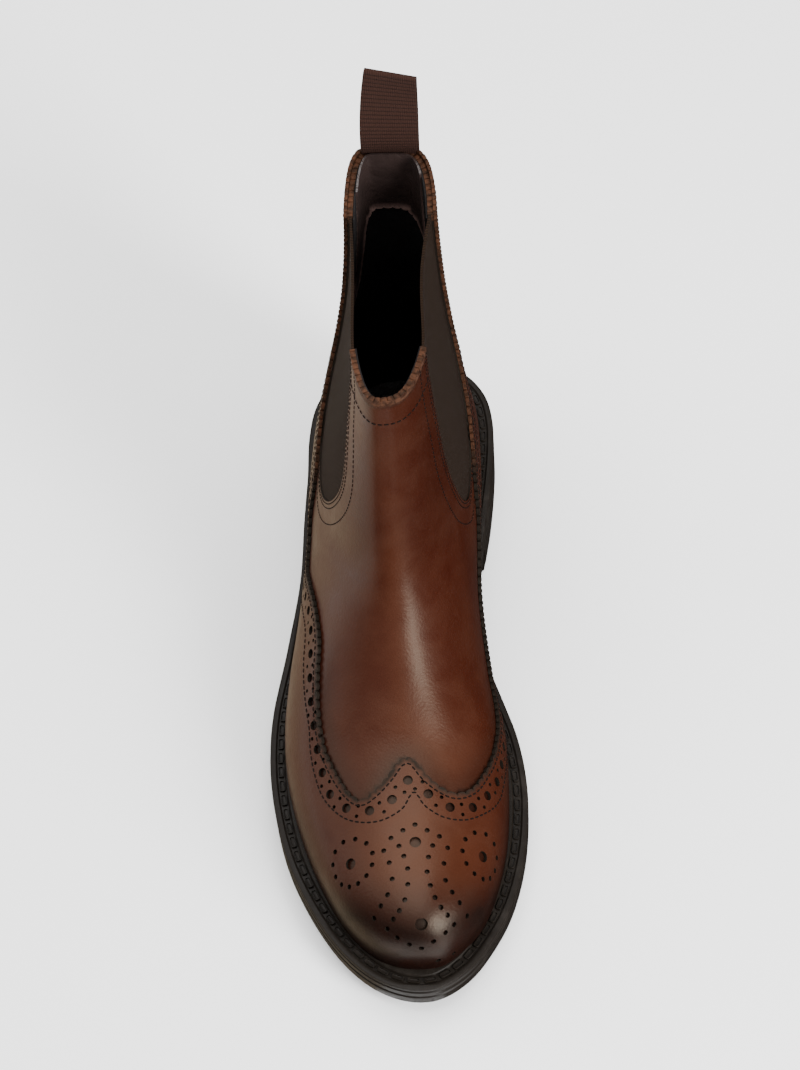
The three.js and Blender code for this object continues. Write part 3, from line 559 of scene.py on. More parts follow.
    def _normal(self, flat, point):
        """The outward normals of a function of flat points."""
        step = 1e-3 * (1 + np.hypot(flat[:, 0], flat[:, 1]))[:, None]
        side, up = np.array([[1.0, 0.0]]), np.array([[0.0, 1.0]])
        du = (point(flat + step * side) - point(flat - step * side)) / (2 * step)
        dv = (point(flat + step * up) - point(flat - step * up)) / (2 * step)
        out = np.cross(du, dv)
        return out / np.maximum(np.linalg.norm(out, axis=1, keepdims=True), 1e-12)

    def surface(self, flat, grow=0.0):
        """Points over the skin. grow is a distance, or a function of points and spots that gives it."""
        spots = self.spots(flat)
        bare = self.skin(spots)
        normal = self._normal(flat, lambda f: self.skin(self.spots(f)))
        distance = grow(bare, spots) if callable(grow) else grow
        distance = distance + self.relief(spots)
        return bare + normal * np.broadcast_to(distance, (len(bare),))[:, None]

    def normals(self, flat, grow=0.0):
        """The normals of the surface at flat points."""
        return self._normal(flat, lambda f: self.surface(f, grow))

    def basis(self, spots):
        """Points, normals and the skin's two directions for a step in place and in bearing."""
        step = 1e-3
        a, b = np.array([[step, 0.0]]), np.array([[0.0, step]])
        along = (self.skin(spots + a) - self.skin(spots - a)) / (2 * step)
        around = (self.skin(spots + b) - self.skin(spots - b)) / (2 * step)
        normal = np.cross(along, around)
        normal /= np.maximum(np.linalg.norm(normal, axis=1, keepdims=True), 1e-12)
        return self.skin(spots), normal, along, around

    def step(self, spots, move):
        """The spots after a small move in millimetres along the skin."""
        _, _, along, around = self.basis(spots)
        aa, ab, bb = (along**2).sum(1), (along * around).sum(1), (around**2).sum(1)
        ma, mb = (move * along).sum(1), (move * around).sum(1)
        det = np.maximum(aa * bb - ab**2, 1e-9)
        return spots + np.stack([(ma * bb - mb * ab) / det, (mb * aa - ma * ab) / det], 1)

    def find(self, targets, view, mask):
        """Spots whose points show at the targets in a view: (1, 2) from the side, (0, 1) from above."""
        targets = np.asarray(targets, float)
        net, points = self.net[mask], self.net_points[mask][:, view]
        nearest = [np.argmin(((points - t) ** 2).sum(1)) for t in targets]
        spots = net[nearest].copy()
        for _ in range(14):
            point, _, along, around = self.basis(spots)
            off = targets - point[:, view]
            a, b = along[:, view], around[:, view]
            det = a[:, 0] * b[:, 1] - a[:, 1] * b[:, 0]
            det = np.where(np.abs(det) < 1e-3, 1e-3, det)
            dp = (off[:, 0] * b[:, 1] - off[:, 1] * b[:, 0]) / det
            db = (a[:, 0] * off[:, 1] - a[:, 1] * off[:, 0]) / det
            spots[:, 0] = np.clip(spots[:, 0] + np.clip(dp, -0.2, 0.2), 0.02, self.LAST - 1e-3)
            spots[:, 1] += np.clip(db, -0.1, 0.1)
        return spots

    def from_side(self, rows, outer):
        """Spots of rows of along and rise, on the outer or the inner side."""
        mask = self.net[:, 1] > math.pi if outer else self.net[:, 1] < math.pi
        targets = [(self.y_of(a), self.side_height(r)) for a, r in rows]
        return self.find(targets, [1, 2], mask)

    def from_above(self, rows):
        """Spots of rows of across and along, on the top of the toe and vamp."""
        mask = np.abs(self.net[:, 1] - math.pi) < self.TOP_BEARING * math.pi
        mask &= self.net[:, 0] < self.TOP_LAST
        targets = [(self.ball * x, self.y_of(a)) for x, a in rows]
        return self.find(targets, [0, 1], mask)

    def spaced(self, spots, spacing):
        """The same curve with points evenly spaced over the skin."""
        points = self.skin(spots)
        reach = np.concatenate([[0], np.cumsum(np.linalg.norm(np.diff(points, axis=0), axis=1))])
        stops = np.linspace(0, reach[-1], max(2, int(round(reach[-1] / spacing)) + 1))
        return np.stack([np.interp(stops, reach, spots[:, k]) for k in (0, 1)], 1)

    def aside(self, spots, offset):
        """The curve moved over the skin to its left, seen from outside, by one distance or one a point."""
        offset = np.broadcast_to(np.asarray(offset, float), (len(spots),))
        steps = max(1, int(math.ceil(np.abs(offset).max() / 1.2)))
        tangent = np.gradient(self.skin(spots), axis=0)
        tangent /= np.maximum(np.linalg.norm(tangent, axis=1, keepdims=True), 1e-12)
        moved = spots.copy()
        for _ in range(steps):
            normal = self.basis(moved)[1]
            left = np.cross(normal, tangent)
            left /= np.maximum(np.linalg.norm(left, axis=1, keepdims=True), 1e-12)
            moved = self.step(moved, left * (offset / steps)[:, None])
        return moved

    def scalloped(self, spots, pitch, depth, side=1):
        """The curve with rounded scallops that stand out to its left, or its right with side -1."""
        reach = np.linalg.norm(np.diff(self.skin(spots), axis=0), axis=1).sum()
        count = max(1, int(round(reach / pitch)))
        fine = self.spaced(spots, reach / (count * 12))
        share = np.linspace(0, count, len(fine)) % 1
        bump = np.sqrt(np.clip(1 - (2 * share - 1) ** 2, 0, 1))
        return self.aside(fine, side * depth * (bump - 1))

    def circle(self, spot, radius, sides):
        """A circle of spots over the skin round one spot."""
        spots = np.repeat(np.asarray(spot, float)[None], sides, 0)
        _, normal, along, _ = self.basis(spots)
        a = along / np.linalg.norm(along, axis=1, keepdims=True)
        b = np.cross(normal, a)
        t = np.linspace(0, FULL_TURN, sides, endpoint=False)[:, None]
        return self.step(spots, radius * (np.cos(t) * a + np.sin(t) * b))

    def contour(self, lift):
        """The closed curve of spots where the skin meets a layer of the sole."""
        place = np.linspace(0.02, self.UNDER_LAST, 260)
        bearing = np.linspace(0, math.pi, 400)
        sides = []
        for sign in (1, -1):
            grid_p, grid_b = np.meshgrid(place, bearing, indexing="ij")
            spots = np.stack([grid_p.ravel(), (sign * grid_b.ravel()) % FULL_TURN], 1)
            points = self.skin(spots)
            over = (points[:, 2] - self.level(lift)(self.along_of(points[:, 1]))).reshape(grid_p.shape)
            rows = []
            for i, row in enumerate(over):
                up = np.where((row[:-1] < 0) & (row[1:] >= 0))[0]
                if len(up) == 0:
                    continue
                k = up[0]
                t = row[k] / (row[k] - row[k + 1])
                rows.append((place[i], sign * (bearing[k] + t * (bearing[k + 1] - bearing[k]))))
            sides.append(np.array(rows))
        return np.vstack([sides[0], sides[1][::-1]])


# Meshes
def clear(name):
    """Takes away what an earlier run made."""
    old = bpy.data.objects.get(name)
    if old:
        bpy.data.objects.remove(old)


def new_object(
    name, points, faces, slot=None, replaces=(), normals=None, fields=None, finish=None, auto=None
):
    """A mesh object in metres from points in millimetres, riding on the boot."""
    clear(name)
    mesh = bpy.data.meshes.new(name)
    points = np.asarray(points, float) / MM
    mesh.from_pydata(points.tolist(), [], [list(map(int, f)) for f in faces])
    mesh.update()
    mesh.polygons.foreach_set("use_smooth", np.ones(len(mesh.polygons), bool))
    for key, (domain, values) in (fields or {}).items():
        attribute = mesh.attributes.new(key, "FLOAT", domain)
        attribute.data.foreach_set("value", np.asarray(values, np.float32))
    if auto is not None:
        mesh.set_sharp_from_angle(angle=auto)
    if normals is not None:
        mesh.normals_split_custom_set(normals.tolist())
    piece = bpy.data.objects.new(name, mesh)
    bpy.context.scene.collection.objects.link(piece)
    if finish:
        mesh.materials.append(finish)
    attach(piece, "root")
    if replaces:
        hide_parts(*replaces)
    return piece


def nearest_distance(points, line):
    """Distance of each point to the nearest of the line's points."""
    best = np.full(len(points), 1e9)
    for start in range(0, len(line), 256):
        part = line[start : start + 256]
        best = np.minimum(best, np.sqrt(((points[:, None] - part[None]) ** 2).sum(2)).min(1))
    return best


def sheet(form, name, curves, keep, top, bottom, lattice=(0.11, 150), fields=None, **options):
    """A closed sheet of leather or cloth over the form.

    curves are closed or open lines of spots that faces follow, and keep says which flat points belong to the
    sheet. top and bottom are its two distances over the skin. fields are values for the finish, by name.
    """
    step, around = lattice
    place = np.arange(step, form.LAST - 0.2, step)
    rows = []
    for i, p in enumerate(place):
        turn = (np.arange(around) + 0.5 * (i % 2)) * FULL_TURN / around
        rows.append(np.stack([np.full(around, p), turn], 1))
    lattice_flat = form.plane(np.vstack(rows))
    grid = lattice_flat[keep(lattice_flat)]
    coordinates, edges = [tuple(q) for q in grid], []
    for spots, is_closed in curves:
        flat = form.plane(spots)
        start = len(coordinates)
        coordinates += [tuple(q) for q in flat]
        edges += [(start + i, start + i + 1) for i in range(len(flat) - 1)]
        if is_closed:
            edges.append((start + len(flat) - 1, start))
    points, _, faces, *_ = delaunay_2d_cdt([Vector(c) for c in coordinates], edges, [], 0, 1e-6, False)
    flat = np.array([tuple(p) for p in points])
    faces = np.array([tuple(f) for f in faces])
    faces = faces[keep(flat[faces].mean(1))]
    used, faces = np.unique(faces, return_inverse=True)
    faces = faces.reshape(-1, 3)
    flat = flat[used]
    a, b, c = (flat[faces[:, k]] for k in range(3))
    area = (b[:, 0] - a[:, 0]) * (c[:, 1] - a[:, 1]) - (b[:, 1] - a[:, 1]) * (c[:, 0] - a[:, 0])
    faces[area < 0] = faces[area < 0][:, ::-1]
    sides = np.vstack([faces[:, [0, 1]], faces[:, [1, 2]], faces[:, [2, 0]]])
    code = sides[:, 0].astype(np.int64) * len(flat) + sides[:, 1]
    back = sides[:, 1].astype(np.int64) * len(flat) + sides[:, 0]
    rim = sides[~np.isin(code, back)]
    upper, lower = form.surface(flat, top), form.surface(flat, bottom)
    count = len(flat)
    walls = np.stack([rim[:, 1], rim[:, 0], rim[:, 0] + count, rim[:, 1] + count], 1)
    all_points = np.vstack([upper, lower])
    up, down = form.normals(flat, top), -form.normals(flat, bottom)
    quad = all_points[walls]
    face_normal = np.cross(quad[:, 2] - quad[:, 0], quad[:, 3] - quad[:, 1])
    face_normal /= np.maximum(np.linalg.norm(face_normal, axis=1, keepdims=True), 1e-12)
    front, rear = up[faces].reshape(-1, 3), down[faces[:, ::-1]].reshape(-1, 3)
    loops = np.vstack([front, rear, np.repeat(face_normal, 4, 0)])
    raw = np.concatenate([np.zeros(len(faces) * 3), np.ones(len(faces) * 3 + len(walls) * 4)])
    if options.pop("soft_back", False):
        raw[len(faces) * 3 : len(faces) * 6] = 0
    polygons = list(faces) + list(faces[:, ::-1] + count) + list(walls)
    extra = {"raw": ("CORNER", raw)}
    for key, field in (fields or {}).items():
        value = field(upper, flat)
        extra[key] = ("POINT", np.concatenate([value, value]))
    return new_object(name, all_points, polygons, normals=loops, fields=extra, **options)


def below_collar(form, drop=0.0, teeth=None, edge=COLLAR):
    """The collar's closed curve of spots, lowered by a distance or by a function of the bearing."""
    rows = spline([(form.y_of(a), form.side_height(r)) for a, r in edge])
    bearings = np.linspace(0, FULL_TURN, 240, endpoint=False)
    places = np.linspace(form.COLLAR_FIRST, form.LAST, 240)
    grid_b, grid_p = np.meshgrid(bearings, places, indexing="ij")
    points = form.skin(np.stack([grid_p.ravel(), grid_b.ravel()], 1))
    lowered = drop(grid_b.ravel()) if callable(drop) else drop
    limit = np.interp(-points[:, 1], -rows[:, 0], rows[:, 1]) - lowered
    over = (points[:, 2] - limit).reshape(grid_b.shape)
    crossing = []
    for b, row in zip(bearings, over):
        k = np.where(row < 0)[0].max()
        t = row[k] / (row[k] - row[k + 1]) if k + 1 < len(places) else 0
        crossing.append((places[k] + t * (places[1] - places[0]), b))
    spots = np.array(crossing)
    if teeth is None:
        return spots
    closed = np.vstack([spots, spots[:1] + [[0, FULL_TURN]]])
    return form.scalloped(closed, teeth[0], teeth[1], -1)[:-1]


def staggered(rows, outer):
    """The elastic's rows of along and rise, moved a little apart on the boot's two sides."""
    along, rise = GORE_STAGGER
    sign = 1 if outer else -1
    return [(a + sign * along * (1 - r), r + sign * rise * (1 - r)) for a, r in rows]


class Pattern:
    """The lines that cut the upper into its panels."""

    def __init__(self, form, trim):
        self.form, self.trim = form, trim
        self.gores = {}
        for outer in (True, False):
            front = OUTER_GORE_FRONT if outer else INNER_GORE_FRONT
            rows = staggered(front, outer) + staggered(GORE_REAR, outer)
            self.gores[outer] = form.spaced(spline(form.from_side(rows, outer)), 0.8)
        outer_rows = staggered(GORE_REAR, True)[::-1] + list(OUTER_FLANK)
        inner_rows = staggered(GORE_REAR, False)[::-1] + list(INNER_FLANK)
        self.outer_flank = form.from_side(outer_rows, True)
        self.inner_flank = form.from_side(inner_rows, False)[::-1]
        self.edge = self.chain(form.from_above(WING_EDGE), 0)
        self.holes = self.chain(form.from_above(WING_HOLES), 0.5)
        self.base = self.chain(form.from_above(WING_BASE), 1)
        self.edge_row = form.aside(form.spaced(self.edge, 0.6), -mm(trim.edge_row))

    def chain(self, middle, share):
        """A line round the plain panel: down the outer flank, over the wings and up the inner flank."""
        offset = -mm(self.trim.band) * share
        outer = self.form.aside(self.form.spaced(spline(self.outer_flank), 4), offset)[::3]
        inner = self.form.aside(self.form.spaced(spline(self.inner_flank), 4), offset)[::3]
        return self.form.spaced(spline(np.vstack([outer, middle, inner])), 0.5)

    def panel(self, line):
        """A line round the plain panel closed above the collar, flat."""
        top = np.linspace(line[-1, 1], line[0, 1], 40)
        cap = np.stack([np.full(40, self.form.LAST + 0.5), top], 1)
        return self.form.plane(np.vstack([line, cap]))

    def beside_gore(self, outer, distance):
        """The elastic's edge moved outwards over the leather."""
        return self.form.aside(self.gores[outer], distance if outer else -distance)

    def window(self, outer, grow=0.0):
        """The elastic's window closed above the collar, as spots."""
        line = self.beside_gore(outer, grow)
        top = np.linspace(line[-1, 1], line[0, 1], 12)
        cap = np.stack([np.full(12, self.form.LAST + 0.4), top], 1)
        return np.vstack([line, cap])


# Finishes
class Nodes:
    """A short way to write a node tree."""

    def __init__(self, name):
        old = bpy.data.materials.get(name)
        if old:
            bpy.data.materials.remove(old)
        self.material = bpy.data.materials.new(name)
        self.material.use_nodes = True
        self.tree = self.material.node_tree
        self.shader = self.tree.nodes["Principled BSDF"]
        self.position = self.add("ShaderNodeTexCoord").outputs["Object"]

    def add(self, kind, settings=None, **inputs):
        """A node with its settings and inputs."""
        node = self.tree.nodes.new(kind)
        for key, value in (settings or {}).items():
            setattr(node, key, value)
        for key, value in inputs.items():
            self.put(node.inputs[key.replace("_", " ")], value)
        return node

    def put(self, socket, value):
        """Gives a socket a value, a colour or another node's output."""
        if isinstance(value, bpy.types.NodeSocket):
            self.tree.links.new(value, socket)
        elif isinstance(value, bpy.types.Node):
            self.tree.links.new(value.outputs[0], socket)
        elif socket.type == "RGBA":
            socket.default_value = (*value, 1)
        else:
            socket.default_value = value

    def noise(self, scale, detail=4, roughness=0.55, stretch=None, distortion=0.0):
        """Soft clouds."""
        place = self.position
        if stretch:
            place = self.add("ShaderNodeMapping", Vector=self.position, Scale=stretch).outputs[0]
        node = self.add("ShaderNodeTexNoise", Vector=place, Scale=scale, Detail=detail)
        self.put(node.inputs["Roughness"], roughness)
        self.put(node.inputs["Distortion"], distortion)
        return node.outputs["Fac"]

    def cells(self, scale):
        """Round cells, as the distance from their middles."""
        node = self.add(
            "ShaderNodeTexVoronoi", {"feature": "SMOOTH_F1"}, Vector=self.position, Scale=scale
        )
        return node.outputs["Distance"]

    def field(self, name):
        """A value of the mesh."""
        return self.add("ShaderNodeAttribute", {"attribute_name": name}).outputs["Fac"]

    def math(self, operation, a, b=0.0, clamp=False):
        """Two values joined by a sum or the like."""
        node = self.add("ShaderNodeMath", {"operation": operation, "use_clamp": clamp})
        for socket, value in zip(node.inputs, (a, b)):
            self.put(socket, value)
        return node.outputs[0]

    def span(self, value, low, high, to_low=0.0, to_high=1.0):
        """A soft rise from one value to another while the input goes from low to high."""
        node = self.add(
            "ShaderNodeMapRange", {"interpolation_type": "SMOOTHSTEP"},
            Value=value, From_Min=low, From_Max=high, To_Min=to_low, To_Max=to_high,
        )
        return node.outputs[0]

    def mix(self, share, a, b, blend="MIX"):
        """Two colours mixed by a share."""
        node = self.add("ShaderNodeMix", {"data_type": "RGBA", "blend_type": blend})
        self.put(node.inputs[0], share)
        self.put(node.inputs[6], a)
        self.put(node.inputs[7], b)
        return node.outputs[2]

    def bump(self, height, strength, distance, under=None):
        """A relief, over another one when it is given."""
        node = self.add("ShaderNodeBump", Height=height, Strength=strength, Distance=distance)
        if under is not None:
            self.put(node.inputs["Normal"], under)
        return node.outputs[0]

    def finish(self, **inputs):
        """Fills the shader and gives the material."""
        for key, value in inputs.items():
            self.put(self.shader.inputs[key.replace("_", " ")], value)
        return self.material


def shade(value, strength):
    """A colour made darker or lighter."""
    return tuple(strength * c for c in value)


def leather(name, looks):
    """Chestnut leather: rubbed light with a painted highlight, burnished dark with painted shade, and waxed
    and raw edges.
    """
    n = Nodes(name)
    patches = n.noise(22, 3, 0.5)
    clouds = n.noise(75, 5, 0.6, distortion=0.4)
    tone = n.math("ADD", n.math("MULTIPLY", patches, 0.6), n.math("MULTIPLY", clouds, 0.4))
    tone = n.span(tone, 0.34, 0.66)
    # The lighter stripes are rubbed light and partly a painted highlight down the vamp and over the toe's
    # crown.
    lit = n.math("ADD", n.math("MULTIPLY", tone, 0.3), n.field("light"), clamp=True)
    base = n.mix(lit, tuple(looks.leather), tuple(looks.leather_rubbed_and_highlit))
    # Darkened by burnish at the toe and heel, and by painted shade along the welt, by the wings' edge, in the
    # holes and on the shaft's inner side.
    dark = n.math("MULTIPLY", n.field("burnish_and_shade"), n.span(clouds, 0.3, 0.7, 0.85, 1.0), clamp=True)
    base = n.mix(dark, base, tuple(looks.leather_burnish_and_shade))
    fine = n.noise(900, 3, 0.6)
    base = n.mix(0.16, base, n.mix(fine, (0.55, 0.5, 0.45), (1, 1, 1)), "MULTIPLY")
    worn = n.noise(480, 3, 0.6)
    waxed = n.math("MULTIPLY", n.field("waxed"), n.span(worn, 0.3, 0.6, 0.75, 1.0))
    base = n.mix(waxed, base, tuple(looks.pinked))
    raw = n.mix(n.span(worn, 0.35, 0.65), shade(looks.raw, 0.35), shade(looks.raw, 1.15))
    raw = n.mix(n.field("ragged"), tuple(looks.pinked), raw)
    frayed = n.math("MULTIPLY", n.field("ragged"), n.span(worn, 0.3, 0.55, 0.5, 1.0))
    bare = n.math("MAXIMUM", n.field("raw"), frayed)
    base = n.mix(bare, base, raw)
    pores = n.cells(1100)
    normal = n.bump(pores, 0.14, 0.0003)
    normal = n.bump(n.noise(420, 4, 0.6), 0.08, 0.0005, normal)
    normal = n.bump(clouds, 0.08, 0.002, normal)
    normal = n.bump(n.math("MULTIPLY", bare, worn), 0.5, 0.0006, normal)
    dull = n.math("MAXIMUM", bare, waxed)
    rough = n.math("ADD", n.span(clouds, 0.3, 0.7, 0.34, 0.43), n.math("MULTIPLY", dull, 0.35))
    return n.finish(
        Base_Color=base, Roughness=rough, Normal=normal, Specular_IOR_Level=0.2,
        Specular_Tint=(1, 0.86, 0.68),
    )


def facing_leather(name, value):
    """Soft grained leather of the shaft's inside, paler along its pinked edge."""
    n = Nodes(name)
    base = n.mix(n.noise(120, 4), shade(value, 0.8), shade(value, 1.7))
    base = n.mix(n.field("ragged"), base, shade(value, 11))
    normal = n.bump(n.cells(900), 0.2, 0.0004)
    normal = n.bump(n.noise(110, 4, 0.6, distortion=0.6), 0.5, 0.0025, normal)
    return n.finish(Base_Color=base, Roughness=0.4, Normal=normal, Specular_IOR_Level=0.5)


def elastic_cloth(name, value):
    """Fine upright ribs with short cross threads."""
    n = Nodes(name)
    parts = n.add("ShaderNodeSeparateXYZ", Vector=n.position)
    ribs = n.math("SINE", n.math("MULTIPLY", parts.outputs[1], FULL_TURN / ELASTIC_RIB))
    threads = n.math("SINE", n.math("MULTIPLY", parts.outputs[2], FULL_TURN / ELASTIC_THREAD))
    weave = n.math("ADD", n.math("MULTIPLY", ribs, 0.8), n.math("MULTIPLY", threads, 0.2))
    tone = n.span(weave, -0.9, 0.9, 0.0, 1.0)
    base = n.mix(tone, shade(value, 0.55), shade(value, 1.3))
    base = n.mix(0.25, base, n.mix(n.noise(140, 4), (0.6, 0.6, 0.6), (1.1, 1.1, 1.1)), "MULTIPLY")
    normal = n.bump(weave, 0.5, 0.0003)
    return n.finish(Base_Color=base, Roughness=0.9, Normal=normal, Specular_IOR_Level=0.08)


def tape_cloth(name, value, rib):
    """Corded tape: a rib every so often along the tape, with fine threads across the ribs."""
    n = Nodes(name)
    wave = n.math("ABSOLUTE", n.math("SINE", n.math("MULTIPLY", n.field("along"), math.pi / rib)))
    parts = n.add("ShaderNodeSeparateXYZ", Vector=n.position)
    threads = n.math("SINE", n.math("MULTIPLY", parts.outputs[0], FULL_TURN / TAPE_THREAD))
    base = n.mix(n.span(wave, 0.0, 0.6), shade(value, 0.4), shade(value, 1.2))
    base = n.mix(n.span(threads, -1, 1, 0, 0.35), base, shade(value, 0.5))
    base = n.mix(0.3, base, n.mix(n.noise(400, 4), (0.6, 0.6, 0.6), (1.1, 1.1, 1.1)), "MULTIPLY")
    normal = n.bump(threads, 0.4, 0.0002)
    return n.finish(Base_Color=base, Roughness=0.9, Normal=normal, Specular_IOR_Level=0.1)


def plain_cloth(name, value):
    """Plain woven cloth."""
    n = Nodes(name)
    parts = n.add("ShaderNodeSeparateXYZ", Vector=n.position)
    weave = n.math(
        "MULTIPLY",
        n.math("SINE", n.math("MULTIPLY", parts.outputs[1], FULL_TURN / LINING_THREAD)),
        n.math("SINE", n.math("MULTIPLY", parts.outputs[2], FULL_TURN / LINING_THREAD)),
    )
    base = n.mix(n.noise(300, 3), shade(value, 0.6), shade(value, 1.5))
    normal = n.bump(weave, 0.3, 0.0002)
    return n.finish(Base_Color=base, Roughness=0.95, Normal=normal, Specular_IOR_Level=0.05)


def thread_cotton(name, value):
    """Twisted cotton."""
    n = Nodes(name)
    twist = n.noise(2500, 2, stretch=(1, 1, 0.4))
    base = n.mix(twist, shade(value, 0.6), shade(value, 1.6))
    normal = n.bump(twist, 0.4, 0.0001)
    return n.finish(Base_Color=base, Roughness=0.85, Normal=normal, Specular_IOR_Level=0.08)


def rubber(name, value):
    """Dark moulded rubber with a faint grain and dusty scuffs."""
    n = Nodes(name)
    scuff = n.noise(90, 6, 0.65, distortion=0.8)
    base = n.mix(n.span(scuff, 0.5, 0.75), value, tuple(1.6 * c + 0.002 for c in value))
    normal = n.bump(n.noise(1800, 3), 0.12, 0.0002)
    normal = n.bump(n.noise(260, 4), 0.08, 0.0005, normal)
    rough = n.span(scuff, 0.3, 0.7, 0.45, 0.6)
    return n.finish(Base_Color=base, Roughness=rough, Normal=normal, Specular_IOR_Level=0.13)


# Operators
class BootOperator(bpy.types.Operator):
    """Shared set-up of the boot's operators."""

    bl_idname = "boot.base"
    bl_label = "Boot"
    bl_options = {"REGISTER", "UNDO"}

    def prepare(self, context):
        """Takes the settings from the scene and works out the form."""
        scene = context.scene
        self.sizes, self.trim = scene.boot_sizes, scene.boot_trim
        self.sole, self.looks = scene.boot_sole, scene.boot_finishes
        self.form = Form(scene)


def burnish_and_shade_field(form):
    """Burnish round the toe's tip and at the heel, burnish and painted shade along the welt, painted shade on
    the shaft's inner side.
    """

    def field(points, flat):
        along = form.along_of(points[:, 1])
        height = points[:, 2] - form.level(form.welt_top)(along)
        toe = smooth(0.83, 0.95, along) * smooth(40, 20, height)
        # Low along the welt: partly burnish and partly painted shade.
        low = smooth(26, 4, height) * smooth(0.5, 0.75, along) * 0.7 + smooth(9, 0, height) * 0.4
        heel = smooth(0.14, 0.02, along) * smooth(80, 20, height) * 0.5
        # A painted shade on the shaft's inner side.
        shaft = smooth(0, 0.25, points[:, 0] / form.ball) * smooth(70, 110, height) * 0.3
        return np.clip(toe + low + heel + shaft, 0, 1)

    return field


def seam_and_hole_shade(form, pattern):
    """Painted shade where the vamp meets the wings, and deeper below them where only the holes show it, over
    the general burnish and shade.
    """
    general = burnish_and_shade_field(form)
    edge_points = form.surface(form.plane(pattern.edge))
    panel = pattern.panel(pattern.edge)

    def field(points, flat):
        # Painted shade beside the wings' edge towards the front, and deeper painted shade at the bottoms of
        # the holes under the wings.
        distance = nearest_distance(points, edge_points)
        front = smooth(0.5, 0.62, form.along_of(points[:, 1]))
        below = np.where(inside(flat, panel), 0.0, 0.65)
        return np.clip(general(points, flat) + 0.4 * front * smooth(11, 1, distance) + below, 0, 1)

    return field


def rubbed_and_highlit_field(form):
    """Lighter down the middle of the vamp, down the instep and over the toe's crown: rubbed light and partly a
    painted highlight.
    """

    def field(points, flat):
        along = form.along_of(points[:, 1])
        middle = points[:, 0] / form.ball
        total = np.zeros(len(points))
        for centre, width, start, end, strength in RUBBED_AND_HIGHLIT_STRIPES:
            across = np.exp(-(((middle - centre) / width) ** 2))
            total += across * smooth(*start, along) * smooth(*end, along) * strength
        return np.clip(total, 0, 1)

    return field


def strip_field(line, width, fade, share):
    """1 within a width of a line on the skin and 0 further off, times a share of its own."""

    def field(points, flat):
        distance = nearest_distance(points, line)
        return (1 - smooth(width, width + fade, distance)) * share(points)

    return field


class BOOT_OT_upper(BootOperator):
    """Make the plain leather upper with its windows, pinked collar and soft creases."""

    bl_idname = "boot.upper"
    bl_label = "Upper"

    def execute(self, context):
        self.prepare(context)
        form, trim = self.form, self.trim
        pattern = Pattern(form, trim)

        def sunk(bearing):
            """How far the plain leather ends below the overlays' edge, further at the back."""
            return 0.3 + 1.0 * smooth(0.3, 0.7, np.cos(bearing))

        collar = below_collar(form, sunk, (mm(trim.fine_scallop), mm(trim.fine_depth)))
        sole = form.contour(form.welt_base)
        windows = [pattern.window(True), pattern.window(False)]
        flats = [form.plane(w) for w in windows]
        collar_flat, sole_flat = form.plane(collar), form.plane(sole)

        def keep(flat):
            hit = inside(flat, collar_flat) & ~inside(flat, sole_flat)
            for window in flats:
                hit &= ~inside(flat, window)
            return hit

        curves = [(collar, True), (sole, True)] + [(w, True) for w in windows]
        sheet(
            form, "vamp_and_shaft", curves, keep, 0.0, -mm(self.sizes.wall),
            fields={
                "burnish_and_shade": seam_and_hole_shade(form, pattern), "light": rubbed_and_highlit_field(form),
                "ragged": strip_field(form.surface(form.plane(collar)), 3.0, 0.8, lambda points: 1.0),
            },
            replaces=("upper",), slot="vamp_leather", finish=leather("chestnut leather", self.looks),
        )
        return {"FINISHED"}


